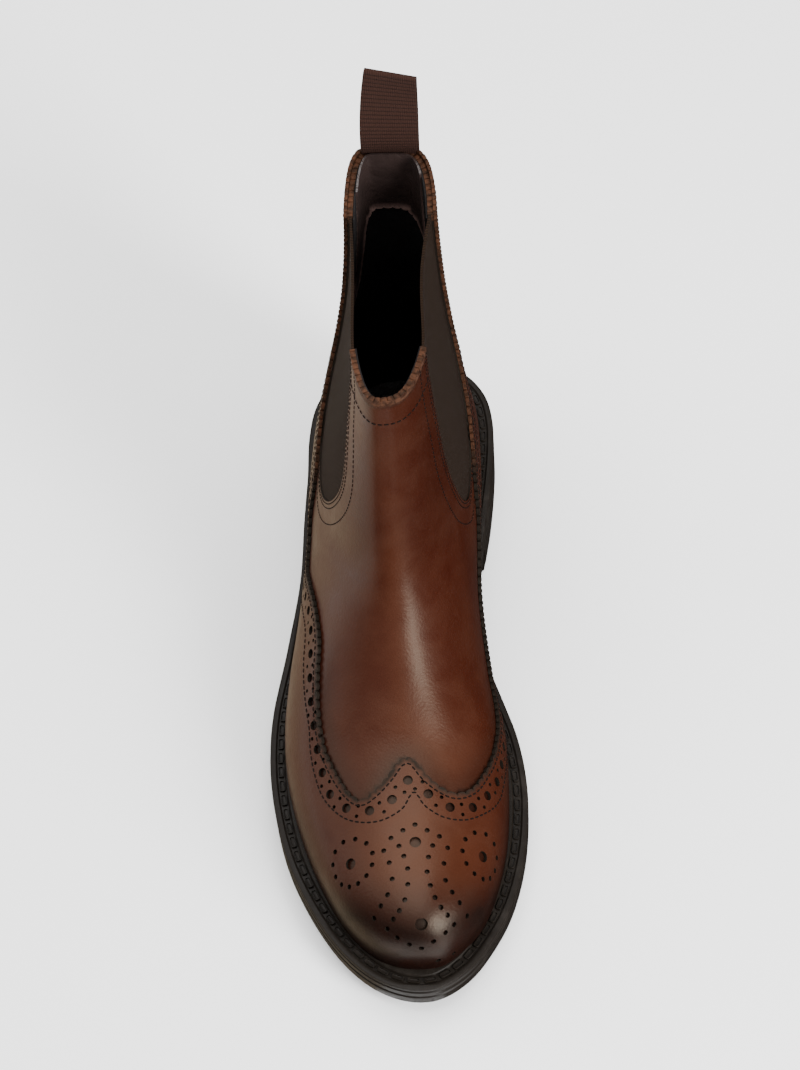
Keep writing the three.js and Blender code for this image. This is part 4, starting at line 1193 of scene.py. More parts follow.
class BOOT_OT_overlays(BootOperator):
    """Make the wing cap and the rear quarter with punched holes and scalloped edges."""

    bl_idname = "boot.overlays"
    bl_label = "Wing cap and rear quarter"

    def execute(self, context):
        self.prepare(context)
        form, trim = self.form, self.trim
        pattern = Pattern(form, trim)
        edge = form.scalloped(pattern.edge, mm(trim.scallop), mm(trim.scallop_depth), 1)
        panel = pattern.panel(edge)
        collar = below_collar(form, 0.0, (mm(trim.fine_scallop), mm(trim.fine_depth)))
        sole = form.contour(form.welt_top + mm(self.sizes.seam))
        collar_flat, sole_flat = form.plane(collar), form.plane(sole)
        split = form.y_of(QUARTER_FRONT)
        split_rows = [(QUARTER_FRONT, r) for r in np.linspace(-0.06, 0.3, 30)]
        cut = [form.from_side(split_rows, outer) for outer in (True, False)]
        holes = []
        for spots, radius in self.hole_centres(pattern):
            sides = 18 if radius > mm(trim.toe_small_hole) else 12
            holes += [(form.circle(spot, radius, sides), spot, radius) for spot in spots]
        centres = form.skin(np.array([h[1] for h in holes]))
        radii = np.array([h[2] for h in holes])

        def common(flat):
            """Leather of either overlay, with its holes left out."""
            hit = inside(flat, collar_flat) & ~inside(flat, sole_flat) & ~inside(flat, panel)
            points = form.skin(form.spots(flat))
            for start in range(0, len(points), 4000):
                part = points[start : start + 4000]
                near = ((part[:, None] - centres[None]) ** 2).sum(2) < (radii * HOLE_CLEAR) ** 2
                hit[start : start + 4000] &= ~near.any(1)
            return hit

        curves = [(collar, True), (sole, True), (edge, False), (pattern.edge_row, False)]
        curves += [(c, False) for c in cut] + [(h[0], True) for h in holes]
        seam = mm(self.sizes.seam)
        edge_points = form.surface(form.plane(pattern.edge))
        raw_points = np.vstack([edge_points, form.surface(form.plane(collar))])
        row = mm(trim.edge_row) - 0.5
        looks = {
            "burnish_and_shade": burnish_and_shade_field(form), "light": rubbed_and_highlit_field(form),
            "waxed": strip_field(edge_points, row, 0.4, lambda points: smooth(80, 66, points[:, 2])),
            "ragged": strip_field(raw_points, row, 0.4, lambda points: smooth(66, 80, points[:, 2])),
        }
        finish = leather("chestnut overlay leather", self.looks)
        for name, node, slot, sign in (
            ("wing_cap_leather", "wing_cap", "wing_leather", 1),
            ("rear_quarter_leather", "rear_quarter", "quarter_leather", -1),
        ):

            def keep(flat, sign=sign):
                """The part in front of the split, or behind it."""
                return common(flat) & (sign * (split - form.skin(form.spots(flat))[:, 1]) > 0)

            sheet(
                form, name, curves, keep, seam + mm(self.sizes.overlay), seam * 0.5,
                fields=looks, replaces=(node,), slot=slot, finish=finish,
            )
        return {"FINISHED"}

    def hole_centres(self, pattern):
        """Spots and radius of each kind of hole: the band's big and small ones, then the toe's."""
        form, trim = self.form, self.trim
        line = form.spaced(pattern.holes, mm(trim.hole_pitch) / 8)
        peak = form.skin(form.from_above([WING_PEAK_HOLE]))
        start = int(((form.skin(line) - peak) ** 2).sum(1).argmin())
        bigs = line[start % 8 :: 8]
        sides = [form.aside(line, offset)[(start + 4) % 8 :: 8] for offset in SMALL_HOLE_OFFSETS]
        toe_smalls = [form.from_above(even(spline(rows), count)) for count, rows in TOE_LINES]
        for across, along, count in TOE_RINGS:
            centre = form.from_above([(across, along)])[0]
            toe_smalls.append(form.circle(centre, mm(trim.ring_radius), count))
        collar_flat = form.plane(below_collar(form, HOLE_COLLAR_GAP))
        sole_flat = form.plane(form.contour(form.welt_top + HOLE_WELT_GAP))

        def on_leather(spots):
            """The spots that keep clear of the collar and the welt."""
            flat = form.plane(spots)
            return spots[inside(flat, collar_flat) & ~inside(flat, sole_flat)]

        return (
            (on_leather(bigs), mm(trim.big_hole)),
            (on_leather(np.vstack(sides)), mm(trim.small_hole)),
            (form.from_above(TOE_BIG_HOLES), mm(trim.toe_big_hole)),
            (on_leather(np.vstack(toe_smalls)), mm(trim.toe_small_hole)),
        )


class BOOT_OT_stitches(BootOperator):
    """Sew the rows of stitches round the overlays, the elastic and the collar."""

    bl_idname = "boot.stitches"
    bl_label = "Stitches"

    def execute(self, context):
        self.prepare(context)
        form, trim = self.form, self.trim
        pattern = Pattern(form, trim)
        over = mm(self.sizes.overlay) + mm(self.sizes.seam)
        pitch, thread = mm(trim.stitch), mm(trim.thread)
        collar_flat = form.plane(below_collar(form, STITCH_COLLAR_GAP))
        sole_flat = form.plane(form.contour(form.welt_top + STITCH_WELT_GAP))
        panel = pattern.panel(pattern.edge)
        windows = [form.plane(pattern.window(outer, STITCH_GORE_GAP)) for outer in (True, False)]

        def shown(spots, on_panel):
            """The spots of one row that are sewn, on the plain panel or on the overlays."""
            flat = form.plane(spots)
            hit = inside(flat, collar_flat) & ~inside(flat, sole_flat)
            hit &= ~inside(flat, windows[0]) & ~inside(flat, windows[1])
            return hit & (inside(flat, panel) if on_panel else ~inside(flat, panel))

        rows = [
            (pattern.edge_row, over, False, pitch, thread),
            (pattern.base, over, False, pitch, thread),
        ]
        gore_rows = ((trim.gore_dots, 0.8), (trim.gore_row, 0.95), (trim.gore_far_row, 0.95))
        for outer in (True, False):
            for offset, share in gore_rows:
                line = pattern.beside_gore(outer, mm(offset))
                rows.append((line, 0.0, True, pitch * share, thread * 0.8))
        ring = below_collar(form, 0, edge=COLLAR_STITCHES)
        front = ring[np.abs(ring[:, 1] - math.pi) < 0.4 * math.pi]
        rows.append((front, 0.0, True, pitch, thread))
        back = np.stack([np.linspace(*BACK_STRIP_PLACES, 60), np.zeros(60)], 1)
        for side in (1, -1):
            line = form.aside(back, side * mm(trim.back_strip) / 2)
            rows.append((line, over, False, pitch, thread))
        quarter = below_collar(form, QUARTER_ROW_DROP)
        line = np.vstack([quarter, quarter[:1] + [[0, FULL_TURN]]])
        rows.append((line, over, False, pitch, thread))
        stitches = []
        for line, lift, on_panel, distance, thickness in rows:
            spots = form.spaced(line, distance)
            normal = form.basis(spots)[1]
            where = form.surface(form.plane(spots), lift)
            tangent = np.gradient(where, axis=0)
            size = np.repeat([[distance * STITCH_FILL, thickness]], len(spots), 0)
            stitches.append(np.hstack([where, tangent, normal, size])[shown(spots, on_panel)])
        finish = thread_cotton("dark thread", tuple(self.looks.thread))
        make_stitches("stitching", np.vstack(stitches), finish)
        return {"FINISHED"}


def make_stitches(name, stitches, finish):
    """One mesh of rounded stitches, each given by its place, direction, normal, length and thickness."""
    points, tangents, normals = stitches[:, 0:3], stitches[:, 3:6], stitches[:, 6:9]
    lengths, thread = stitches[:, 9:10], stitches[:, 10:11]
    tangents = tangents / np.maximum(np.linalg.norm(tangents, axis=1, keepdims=True), 1e-9)
    across = np.cross(normals, tangents)
    sides = 6
    rings = []
    for at, width, lift in STITCH_PROFILE:
        for a in np.arange(sides) * FULL_TURN / sides:
            off = across * math.cos(a) * width + normals * (0.8 * math.sin(a) * width + lift)
            rings.append(points + tangents * lengths * at + 0.5 * thread * off)
    vertices = np.stack(rings, 1).reshape(-1, 3)
    faces = []
    for r in range(len(STITCH_PROFILE) - 1):
        for i in range(sides):
            j = (i + 1) % sides
            faces.append(((r + 1) * sides + i, (r + 1) * sides + j, r * sides + j, r * sides + i))
    each = len(STITCH_PROFILE) * sides
    quads = (np.array(faces)[None] + (np.arange(len(points)) * each)[:, None, None]).reshape(-1, 4)
    caps = []
    for start in range(0, len(points) * each, each):
        caps.append([start + i for i in range(sides)])
        caps.append([start + each - 1 - i for i in range(sides)])
    return new_object(name, vertices, quads.tolist() + caps, slot="loop_tape", finish=finish)


class BOOT_OT_elastic(BootOperator):
    """Make the two ribbed elastic panels."""

    bl_idname = "boot.elastic"
    bl_label = "Elastic panels"

    def execute(self, context):
        self.prepare(context)
        form = self.form
        pattern = Pattern(form, self.trim)
        finish = elastic_cloth("ribbed elastic", tuple(self.looks.elastic))
        collar = below_collar(form, ELASTIC_DROP)
        collar_flat = form.plane(collar)
        rear_top, front_top = GORE_REAR[-1][0], INNER_GORE_FRONT[1][0]
        for name, node, outer, pinch in (
            ("outer_elastic", "gore_outer", True, mm(self.sizes.outer_pinch)),
            ("inner_elastic", "gore_inner", False, mm(self.sizes.inner_pinch)),
        ):
            window = pattern.window(outer, ELASTIC_REACH)
            flat_window = form.plane(window)

            def drawn(points, spots, pinch=pinch):
                """How far the elastic's face stands off the skin, drawn in towards its top."""
                share = (form.along_of(points[:, 1]) - rear_top) / (front_top - rear_top)
                share = np.clip(share, 0, 1)
                rise = (points[:, 2] - form.side_height(0)) / form.rise
                return -mm(self.sizes.gore_recess) - pinch * np.sin(math.pi * share) * smooth(0.45, 1, rise)

            sheet(
                form, name, [(collar, True), (window, True)],
                lambda flat, w=flat_window: inside(flat, collar_flat) & inside(flat, w),
                drawn, lambda p, s, d=drawn: d(p, s) - mm(self.sizes.gore_thickness),
                lattice=(0.06, 300), replaces=(node,), slot="elastic", finish=finish,
            )
        return {"FINISHED"}


class BOOT_OT_lining(BootOperator):
    """Make the textile lining and the leather facing inside the collar."""

    bl_idname = "boot.lining"
    bl_label = "Lining and facing"

    def execute(self, context):
        self.prepare(context)
        form, trim = self.form, self.trim
        pattern = Pattern(form, trim)
        wall = mm(self.sizes.wall)
        openings = [pattern.window(outer, -LINING_BACK) for outer in (True, False)]
        windows = [form.plane(line) for line in openings]
        collar = below_collar(form, LINING_DROP)
        sole = form.contour(form.welt_base + LINING_LIFT)
        collar_flat, sole_flat = form.plane(collar), form.plane(sole)

        def keep(flat):
            hit = inside(flat, collar_flat) & ~inside(flat, sole_flat)
            for window in windows:
                hit &= ~inside(flat, window)
            return hit

        curves = [(collar, True), (sole, True)] + [(line, True) for line in openings]
        near, far = LINING_FACES
        sheet(
            form, "textile_lining", curves, keep, -wall - near, -wall - far, lattice=(0.2, 90),
            slot="insole_leather", soft_back=True,
            finish=plain_cloth("black lining", tuple(self.looks.lining)),
        )
        bearing = np.linspace(*FACING_BEARINGS, 90) * math.pi
        lower = below_collar(form, mm(self.sizes.facing_depth))
        lower = np.vstack([lower, lower[:1] + [[0, FULL_TURN]]])
        place = np.interp(np.mod(bearing, FULL_TURN), lower[:, 1], lower[:, 0])
        # The facing is longer towards its two sides, and has a tongue on the outer one.
        tongue = smooth(-0.2, -0.28, bearing / math.pi)
        place -= 0.25 * np.abs(bearing / (0.25 * math.pi)) ** 3 + 1.1 * tongue
        hem = np.stack([place, bearing], 1)
        scallops = form.scalloped(hem, mm(trim.scallop), mm(trim.scallop_depth), 1)
        top = np.linspace(scallops[-1, 1], scallops[0, 1], 30)
        shape = np.vstack([scallops, np.stack([np.full(30, form.LAST + 0.4), top], 1)])
        shape_flat = form.plane(shape)
        rim = below_collar(form, FACING_DROP)
        rim_flat = form.plane(rim)
        pinked = form.surface(form.plane(scallops), -wall)
        near, far = FACING_FACES
        sheet(
            form, "collar_facing", [(rim, True), (shape, True)],
            lambda flat: inside(flat, rim_flat) & inside(flat, shape_flat),
            -wall - near, -wall - far, lattice=(0.12, 150),
            fields={"ragged": strip_field(pinked, 1.6, 0.5, lambda points: 1.0)},
            slot="quarter_leather", soft_back=True,
            finish=facing_leather("facing leather", tuple(self.looks.facing)),
        )
        return {"FINISHED"}


class BOOT_OT_loop(BootOperator):
    """Weave the ribbed pull loop behind the collar."""

    bl_idname = "boot.loop"
    bl_label = "Pull loop"

    def execute(self, context):
        self.prepare(context)
        form, loop = self.form, context.scene.boot_loop
        width, height, thick, bow = mm(loop.width), mm(loop.height), mm(loop.thickness), mm(loop.bow)
        row = form.LAST - 1.0
        rear = form.skin(np.array([[row, 0.0]]))[0]
        middle = form.skin(np.array([[row, math.pi / 2], [row, 1.5 * math.pi]]))[:, 0].mean()
        centre = np.array([middle, rear[1] - mm(self.sizes.wall) / 2])
        foot = form.side_height(COLLAR[1][1]) + mm(self.sizes.seam)
        share = np.linspace(-0.22, 1, 90)
        reach = thick / 2 + bow * np.sin(math.pi * np.sqrt(np.clip(share, 0, 1))) ** 2
        rise = share * (height - thick / 2)
        ply = np.stack([reach, rise], 1)
        cap_angle = np.linspace(0, math.pi, 14)[1:-1]
        crown = height - thick / 2 + np.sin(cap_angle) * thick * 0.4
        cap = np.stack([np.cos(cap_angle) * thick / 2, crown], 1)
        path = np.vstack([ply, cap, ply[::-1] * [-1, 1]])
        path = even(path, 420)
        tangent = np.gradient(path, axis=0)
        tangent /= np.linalg.norm(tangent, axis=1, keepdims=True)
        out = np.stack([tangent[:, 1], -tangent[:, 0]], 1)
        travelled = np.concatenate([[0], np.cumsum(np.linalg.norm(np.diff(path, axis=0), axis=1))])
        depth = mm(loop.rib_depth)
        ribs = depth * np.abs(np.sin(math.pi * travelled / mm(loop.rib))) ** 0.6
        columns = 25
        u = np.linspace(-1, 1, columns)
        points, along = [], []
        for sign in (1, -1):
            for k in range(columns):
                plain_edge = abs(u[k]) > 0.93
                lift = sign * (thick / 2 - depth + (0.6 * depth if plain_edge else ribs))
                place = path + out * np.reshape(lift, (-1, 1))
                x = np.full(len(path), centre[0] + u[k] * width / 2)
                points.append(np.stack([x, centre[1] + place[:, 0], foot + place[:, 1]], 1))
                along.append(travelled)
        grid = np.array(points)
        share = np.clip((grid[..., 2] - foot) / height, 0, 1.1) ** 2
        angle = -loop.twist * share
        dx, dy = (grid[..., 0] - centre[0]) * (1 - loop.taper * share), grid[..., 1] - centre[1]
        grid[..., 0] = centre[0] + dx * np.cos(angle) - dy * np.sin(angle) + mm(loop.lean) * share
        grid[..., 1] = centre[1] + dx * np.sin(angle) + dy * np.cos(angle)
        rows_count = len(path)
        vertices = grid.reshape(-1, 3)

        def at(side, k, i):
            """The number of a point by side, column and row."""
            return (side * columns + k) * rows_count + i

        faces = []
        for i in range(rows_count - 1):
            for k in range(columns - 1):
                faces.append((at(0, k, i), at(0, k, i + 1), at(0, k + 1, i + 1), at(0, k + 1, i)))
                faces.append((at(1, k, i), at(1, k + 1, i), at(1, k + 1, i + 1), at(1, k, i + 1)))
            last = columns - 1
            faces.append((at(0, 0, i), at(1, 0, i), at(1, 0, i + 1), at(0, 0, i + 1)))
            faces.append((at(0, last, i), at(0, last, i + 1), at(1, last, i + 1), at(1, last, i)))
        for i in (0, rows_count - 1):
            ring = [at(0, k, i) for k in range(columns)] + [at(1, k, i) for k in reversed(range(columns))]
            faces.append(ring if i == 0 else ring[::-1])
        new_object(
            "pull_loop_tape", vertices, faces, slot="loop_tape", replaces=("pull_loop",),
            fields={"along": ("POINT", np.concatenate(along) / MM)}, auto=TAPE_CREASE,
            finish=tape_cloth("ribbed tape", tuple(self.looks.tape), loop.rib),
        )
        return {"FINISHED"}


class Sole:
    """Rings of points round the sole: down the outer side from the back to the toe and up the inner side."""

    STATIONS = 150

    def __init__(self, form):
        self.form = form
        rows = np.array([(form.ball * x, form.y_of(a)) for a, x in SOLE_OUTLINE])
        wrapped = np.vstack([rows[-2:], rows, rows[:3]])
        curve = spline(wrapped, 24)[48 : -48 - 1]
        self.outline = even(np.vstack([curve, curve[:1]]), 1201)[:-1]
        turn = np.pi * np.arange(1, self.STATIONS) / self.STATIONS
        self.stations = np.sort(np.append((1 - np.cos(turn)) / 2, HEEL_BREAST))

    def grown(self, grow):
        """The outline moved outwards by a distance."""
        ahead, behind = np.roll(self.outline, -1, 0), np.roll(self.outline, 1, 0)
        tangent = ahead - behind
        out = np.stack([-tangent[:, 1], tangent[:, 0]], 1)
        out /= np.linalg.norm(out, axis=1, keepdims=True)
        return self.outline - grow * out

    def ring(self, loop, height, start=0.0, end=1.0):
        """One ring: the loop's points at the shared stations, at a height that may follow the sole."""
        form = self.form
        loop = np.asarray(loop)
        nose, rear = loop[loop[:, 1].argmin()], loop[loop[:, 1].argmax()]
        loop = np.roll(loop, -loop[:, 1].argmax(), 0)
        cut = loop[:, 1].argmin()
        halves = loop[: cut + 1], np.vstack([loop[cut:], loop[:1]])[::-1]
        if halves[0][len(halves[0]) // 2, 0] > halves[1][len(halves[1]) // 2, 0]:
            halves = halves[::-1]
        shares = self.stations[(self.stations > start) & (self.stations < end)]
        shares = np.concatenate([[start] if start > 0 else [], shares, [end] if end < 1 else []])
        ys = form.y_of(shares)
        sides = []
        for half in halves:
            y = np.clip(ys, nose[1], rear[1])
            sides.append(np.stack([np.interp(-y, -half[:, 1], half[:, 0]), y], 1))
        outer, inner = sides
        if start == 0:
            outer, inner = np.vstack([rear, outer]), np.vstack([rear, inner])
        if end == 1:
            outer, inner = np.vstack([outer, nose]), np.vstack([inner, nose])
        points = np.vstack([outer, inner[::-1]])
        return np.column_stack([points, height(form.along_of(points[:, 1])) * np.ones(len(points))])

    def offset(self, grow, height, start=0.0, end=1.0):
        """One ring of the outline moved outwards by a distance."""
        return self.ring(self.grown(grow), height, start, end)


def stack(rings, closed_ends=True):
    """Points and faces of rings joined upwards, with ladders across the first and last ring."""
    n = len(rings[0])
    faces = []
    for r in range(len(rings) - 1):
        for i in range(n):
            j = (i + 1) % n
            faces.append((r * n + i, r * n + j, (r + 1) * n + j, (r + 1) * n + i))
    if closed_ends:
        top = (len(rings) - 1) * n
        for i in range(n // 2 - 1):
            j = n - 1 - i
            faces.append((i, j, j - 1, i + 1))
            faces.append((top + i, top + i + 1, top + j - 1, top + j))
    return np.vstack(rings), faces


def even_level(height):
    """The same height all along the sole."""
    return lambda along: height


def sole_layer(name, node, rings, finish):
    """One rubber layer made of its rings, with sharp grooves."""
    points, faces = stack(rings)
    return new_object(
        name, points, faces, slot="sole_rubber", replaces=(node,), auto=LAYER_CREASE, finish=finish
    )


def crossings(ring, y):
    """Where an outline crosses a line that runs straight across the boot."""
    hit = []
    for (ax, ay), (bx, by) in zip(ring, np.roll(ring, -1, 0)):
        if (ay - y) * (by - y) < 0:
            hit.append(ax + (bx - ax) * (y - ay) / (by - ay))
    return hit


def bars(form, sole, ys, depth_from, depth_to, margin):
    """Straight bars across the tread, for cutting grooves."""
    ring = sole.grown(-margin)
    points, faces = [], []
    for y, half in ys:
        near, far = crossings(ring, y - half), crossings(ring, y + half)
        if len(near) < 2 or len(far) < 2:
            continue
        low, high = max(min(near), min(far)), min(max(near), max(far))
        start = len(points)
        top = depth_to(form.along_of(y))
        for z in (depth_from, top):
            points += [(low, y - half, z), (high, y - half, z), (high, y + half, z), (low, y + half, z)]
        for f in ((0, 3, 2, 1), (4, 5, 6, 7), (0, 1, 5, 4), (1, 2, 6, 5), (2, 3, 7, 6), (3, 0, 4, 7)):
            faces.append([start + i for i in f])
    return points, faces


def carve(piece, points, faces):
    """Cuts a mesh of separate bars out of a piece."""
    mesh = bpy.data.meshes.new("bars")
    mesh.from_pydata((np.asarray(points) / MM).tolist(), [], faces)
    cutter = bpy.data.objects.new("bars", mesh)
    bpy.context.scene.collection.objects.link(cutter)
    cut = piece.modifiers.new("grooves", "BOOLEAN")
    cut.operation, cut.solver, cut.object = "DIFFERENCE", "EXACT", cutter
    graph = bpy.context.evaluated_depsgraph_get()
    result = bpy.data.meshes.new_from_object(piece.evaluated_get(graph))
    piece.modifiers.clear()
    old = piece.data
    piece.data = result
    bpy.data.objects.remove(cutter)
    bpy.data.meshes.remove(mesh)
    result.name = old.name
    bpy.data.meshes.remove(old)
    result.polygons.foreach_set("use_smooth", np.ones(len(result.polygons), bool))
    result.set_sharp_from_angle(angle=LAYER_CREASE)


class BOOT_OT_sole(BootOperator):
    """Make the welt with its moulded pads, the midsole and the outsole."""

    bl_idname = "boot.sole"
    bl_label = "Welt and soles"

    def execute(self, context):
        self.prepare(context)
        form, s = self.form, self.sole
        sole = Sole(form)
        groove, bevel = mm(s.groove), mm(s.bevel)
        level = form.level
        finish = rubber("sole rubber", tuple(self.looks.rubber))
        self.welt(sole, finish)
        base, top = form.midsole_base, form.midsole_base + mm(self.sizes.midsole)
        layers = [
            (-groove, base), (-0.15, base + groove * 0.8), (0, base + groove),
            (0, top - groove), (-0.15, top - groove * 0.8), (-groove, top),
        ]
        rings = [sole.offset(g, level(h)) for g, h in layers]
        sole_layer("midsole_layer", "midsole", rings, finish)
        top = mm(self.sizes.outsole)
        layers = [
            (-bevel, 0), (-bevel * 0.4, bevel * 0.35), (0, bevel),
            (0, top - groove), (-0.15, top - groove * 0.8), (-groove, top),
        ]
        rings = [sole.offset(g, level(h)) for g, h in layers]
        piece = sole_layer("outsole_layer", "outsole", rings, finish)
        depth, pitch = mm(s.tread_depth), mm(s.tread_pitch)
        count = int((TOE_TREAD_END - TREAD_START) * form.length / pitch)
        first = form.y_of(TREAD_START)
        ys = [(first - i * pitch, mm(s.tread_groove) / 2) for i in range(count + 1)]
        carve(piece, *bars(form, sole, ys, -depth, level(depth), mm(s.tread_margin)))
        return {"FINISHED"}

    def welt(self, sole, finish):
        """The welt: a bead beside the leather, a channel with pads and a smooth rim."""
        form, s = self.form, self.sole
        groove, level = mm(s.groove), form.level
        base, top = form.welt_base, form.welt_top
        rim_z, floor_z = top - mm(s.rim_drop), top - mm(s.channel_drop)
        rim, end = mm(s.rim), mm(s.rim) + groove + mm(s.channel)
        inner = self.shrunk(form.skin(form.contour(top))).grown(-WELT_TUCK)
        profile = [
            (-groove, base), (-0.15, base + groove * 0.8), (0, base + groove),
            (0, rim_z - groove), (-0.2, rim_z - 0.25), (-groove, rim_z),
            (-rim, rim_z), (-rim - 0.15, rim_z - 0.1), (-rim - groove, floor_z), (-end, floor_z),
            (-end - 0.3, top - 0.5), (-end - groove, top - 0.05), (-end - groove - 0.6, top),
        ]
        rings = [sole.offset(g, level(h)) for g, h in profile]
        rings.append(sole.ring(inner, level(top)))
        rings.append(sole.ring(inner, level(base)))
        n = len(rings[0])
        points, faces = stack(rings, closed_ends=False)
        last = (len(rings) - 1) * n
        faces += [(last + i, last + (i + 1) % n, (i + 1) % n, i) for i in range(n)]
        pad_points, pad_faces = self.pads(sole, floor_z, len(points))
        faces += pad_faces
        points = np.vstack([points, pad_points])
        new_object(
            "moulded_welt", points, faces, slot="welt_rubber", replaces=("welt",), auto=WELT_CREASE,
            finish=finish,
        )

    @staticmethod
    def shrunk(points):
        """The contour as an outline that can be grown or shrunk."""
        holder = Sole.__new__(Sole)
        loop = even(np.vstack([points[:, :2], points[:1, :2]]), 601)[:-1]
        area = np.sum(loop[:, 0] * np.roll(loop[:, 1], -1) - np.roll(loop[:, 0], -1) * loop[:, 1])
        holder.outline = loop if area > 0 else loop[::-1]
        return holder

    def pads(self, sole, floor_z, first):
        """Raised rounded pads along the welt's channel."""
        form, s = self.form, self.sole
        middle = mm(s.rim) + mm(s.groove) + mm(s.channel) / 2
        line = sole.grown(-middle)
        closed = np.vstack([line, line[:1]])
        total = np.linalg.norm(np.diff(closed, axis=0), axis=1).sum()
        count = int(round(total / mm(s.pad_pitch)))
        spots = even(closed, count * 4 + 1)[:-1]
        tangent = np.roll(spots, -1, 0) - np.roll(spots, 1, 0)
        tangent /= np.linalg.norm(tangent, axis=1, keepdims=True)
        spots, tangent = spots[::4], tangent[::4]
        across = np.stack([-tangent[:, 1], tangent[:, 0]], 1)
        half, wide = mm(s.pad_length) / 2, mm(s.pad_width) / 2
        power = 2 / 5
        corner = []
        for a in np.arange(PAD_SIDES) * FULL_TURN / PAD_SIDES + FULL_TURN / (2 * PAD_SIDES):
            x, y = math.cos(a), math.sin(a)
            corner.append((math.copysign(abs(x) ** power, x), math.copysign(abs(y) ** power, y)))
        corner = np.array(corner)
        points = []
        for scale, lift in PAD_PROFILE:
            a = (half - wide * (1 - scale)) * corner[:, 0]
            b = wide * scale * corner[:, 1]
            xy = spots[:, None] + tangent[:, None] * a[None, :, None]
            xy = xy + across[:, None] * b[None, :, None]
            z = form.level(floor_z + lift)(form.along_of(xy[..., 1]))
            points.append(np.concatenate([xy, z[..., None]], 2))
        grid = np.stack(points, 1).reshape(-1, 3)
        faces, layers = [], len(PAD_PROFILE)
        for p in range(count):
            start = first + p * PAD_SIDES * layers
            for r in range(layers - 1):
                low, high = start + r * PAD_SIDES, start + (r + 1) * PAD_SIDES
                for i in range(PAD_SIDES):
                    j = (i + 1) % PAD_SIDES
                    faces.append((low + i, low + j, high + j, high + i))
            faces.append([start + (layers - 1) * PAD_SIDES + i for i in range(PAD_SIDES)])
            faces.append([start + i for i in reversed(range(PAD_SIDES))])
        return grid, faces


class BOOT_OT_heel(BootOperator):
    """Make the heel's grooved block and its wearing layer."""

    bl_idname = "boot.heel"
    bl_label = "Heel"

    def execute(self, context):
        self.prepare(context)
        form, s = self.form, self.sole
        sole = Sole(form)
        finish = rubber("heel rubber", tuple(self.looks.rubber))
        groove, bevel, seam = mm(s.groove), mm(s.bevel), mm(self.sizes.seam)
        block, piece_height = mm(self.sizes.heel_block), mm(self.sizes.top_piece)
        foot = piece_height + seam
        middle = foot + block / 2
        level = form.level
        layers = [
            (-groove, even_level(foot)), (0, even_level(foot + groove)),
            (0, even_level(middle - groove)), (-groove, even_level(middle)),
            (0, level(-block / 2 - seam + 2 * groove)), (0, level(-seam - groove)), (-groove, level(-seam)),
        ]
        rings = [sole.offset(g, h, 0, HEEL_BREAST) for g, h in layers]
        sole_layer("heel_stack", "heel_block", rings, finish)
        layers = [
            (-bevel, 0), (-groove, bevel), (-groove, piece_height - groove), (-bevel, piece_height),
        ]
        rings = [sole.offset(g, even_level(h), 0, HEEL_BREAST) for g, h in layers]
        piece = sole_layer("heel_top_piece", "top_piece", rings, finish)
        pitch, margin = mm(s.tread_pitch), mm(s.tread_margin)
        first = form.length / 2 - margin
        count = int((HEEL_BREAST * form.length - 2 * margin) / pitch)
        ys = [(first - i * pitch, mm(s.tread_groove) / 2) for i in range(count + 1)]
        depth = mm(s.tread_depth)
        carve(piece, *bars(form, sole, ys, -depth, even_level(depth), margin))
        return {"FINISHED"}


class BOOT_OT_insole(BootOperator):
    """Dress the insole."""

    bl_idname = "boot.insole"
    bl_label = "Insole"

    def execute(self, context):
        self.prepare(context)
        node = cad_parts["insole"]
        node.data.materials.clear()
        node.data.materials.append(facing_leather("insole leather", shade(self.looks.facing, 0.4)))
        return {"FINISHED"}


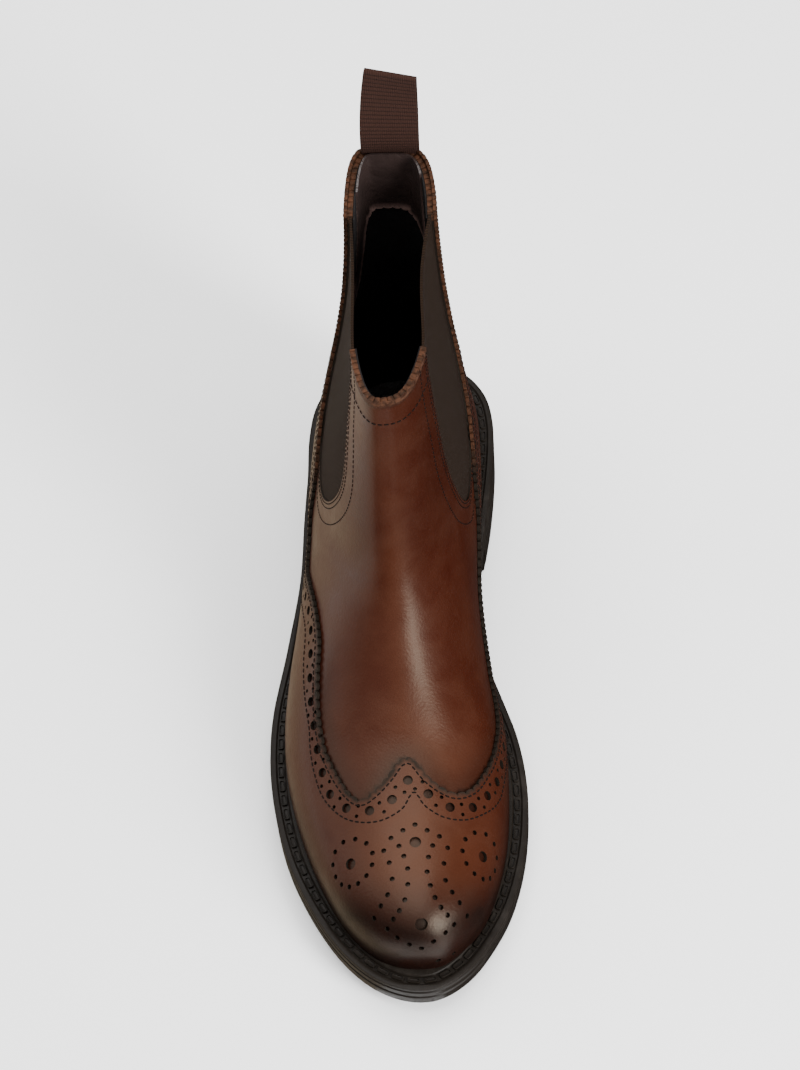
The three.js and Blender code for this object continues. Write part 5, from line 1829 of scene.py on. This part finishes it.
class BOOT_OT_stage(BootOperator):
    """Set the pale floor, the soft lights and the camera."""

    bl_idname = "boot.stage"
    bl_label = "Stage"

    def execute(self, context):
        self.prepare(context)
        clear("studio_floor")
        mesh = bpy.data.meshes.new("studio_floor")
        half = HALF_FLOOR
        corners = [(-half, -half, 0), (half, -half, 0), (half, half, 0), (-half, half, 0)]
        mesh.from_pydata(corners, [], [(0, 1, 2, 3)])
        floor = bpy.data.objects.new("studio_floor", mesh)
        context.scene.collection.objects.link(floor)
        paper = Nodes("floor paper")
        pale = tuple(self.looks.floor)
        mesh.materials.append(paper.finish(Base_Color=pale, Roughness=0.9, Specular_IOR_Level=0.1))
        world = context.scene.world or bpy.data.worlds.new("studio")
        context.scene.world = world
        world.use_nodes = True
        background = world.node_tree.nodes["Background"]
        background.inputs[0].default_value = (1, 1, 1, 1)
        background.inputs[1].default_value = SKY
        for name, place, target, size, power in LIGHTS:
            clear(name)
            light = bpy.data.lights.new(name, "AREA")
            light.shape, light.energy = "RECTANGLE", power
            light.size, light.size_y = size
            lamp = bpy.data.objects.new(name, light)
            context.scene.collection.objects.link(lamp)
            lamp.location = place
            lamp.rotation_euler = (Vector(target) - Vector(place)).to_track_quat("-Z", "Y").to_euler()
        papers = {}
        for name, value in CARD_COLOURS.items():
            papers[name] = Nodes(name).finish(Base_Color=value, Roughness=0.9)
        for name, paper, sweep, line in CARDS:
            clear(name)
            mesh = bpy.data.meshes.new(name)
            corners = []
            for spot in line:
                corners += [Vector(spot), Vector(spot) + Vector(sweep)]
            faces = [(i, i + 2, i + 3, i + 1) for i in range(0, len(corners) - 2, 2)]
            mesh.from_pydata(corners, [], faces)
            mesh.materials.append(papers[paper])
            card = bpy.data.objects.new(name, mesh)
            context.scene.collection.objects.link(card)
            card.visible_camera = card.visible_diffuse = card.visible_shadow = False
        clear("camera")
        lens = bpy.data.cameras.new("camera")
        lens.sensor_fit, lens.sensor_width = "HORIZONTAL", CAMERA_SENSOR
        lens.lens = CAMERA_LENS
        camera = bpy.data.objects.new("camera", lens)
        context.scene.collection.objects.link(camera)
        camera.location = CAMERA_PLACE
        look = (Vector(CAMERA_AIM) - camera.location).to_track_quat("-Z", "Y")
        camera.rotation_euler = (look @ Quaternion((0, 0, 1), math.radians(CAMERA_ROLL))).to_euler()
        context.scene.camera = camera
        return {"FINISHED"}


OPERATORS = (
    BOOT_OT_upper, BOOT_OT_overlays, BOOT_OT_stitches, BOOT_OT_elastic, BOOT_OT_lining, BOOT_OT_loop,
    BOOT_OT_sole, BOOT_OT_heel, BOOT_OT_insole, BOOT_OT_stage,
)
GROUPS = {
    "boot_sizes": BootSizes, "boot_trim": TrimSizes, "boot_sole": SoleSizes, "boot_loop": LoopSizes,
    "boot_finishes": Finishes,
}


class BOOT_PT_panel(bpy.types.Panel):
    """Lists the boot's pieces and settings."""

    bl_idname = "BOOT_PT_panel"
    bl_label = "Brogue ankle boot"
    bl_space_type = "VIEW_3D"
    bl_region_type = "UI"
    bl_category = "Boot"

    def draw(self, context):
        """The panel: a button for each piece, then the settings."""
        for operator in OPERATORS:
            self.layout.operator(operator.bl_idname)
        for key in GROUPS:
            box = self.layout.box()
            group = getattr(context.scene, key)
            for name in group.__annotations__:
                box.prop(group, name)


def register():
    """Adds the settings, operators and panel."""
    for key, group in GROUPS.items():
        bpy.utils.register_class(group)
        setattr(bpy.types.Scene, key, PointerProperty(type=group))
    for item in OPERATORS + (BOOT_PT_panel,):
        bpy.utils.register_class(item)


def unregister():
    """Takes them away again."""
    for item in reversed(OPERATORS + (BOOT_PT_panel,)):
        bpy.utils.unregister_class(item)
    for key, group in GROUPS.items():
        delattr(bpy.types.Scene, key)
        bpy.utils.unregister_class(group)


def main():
    """Makes the boot piece by piece."""
    register()
    for operator in OPERATORS:
        group, name = operator.bl_idname.split(".")
        result = getattr(getattr(bpy.ops, group), name)()
        if result != {"FINISHED"}:
            raise RuntimeError(f"{operator.bl_label} could not be made")


if __name__ == "__main__":
    main()
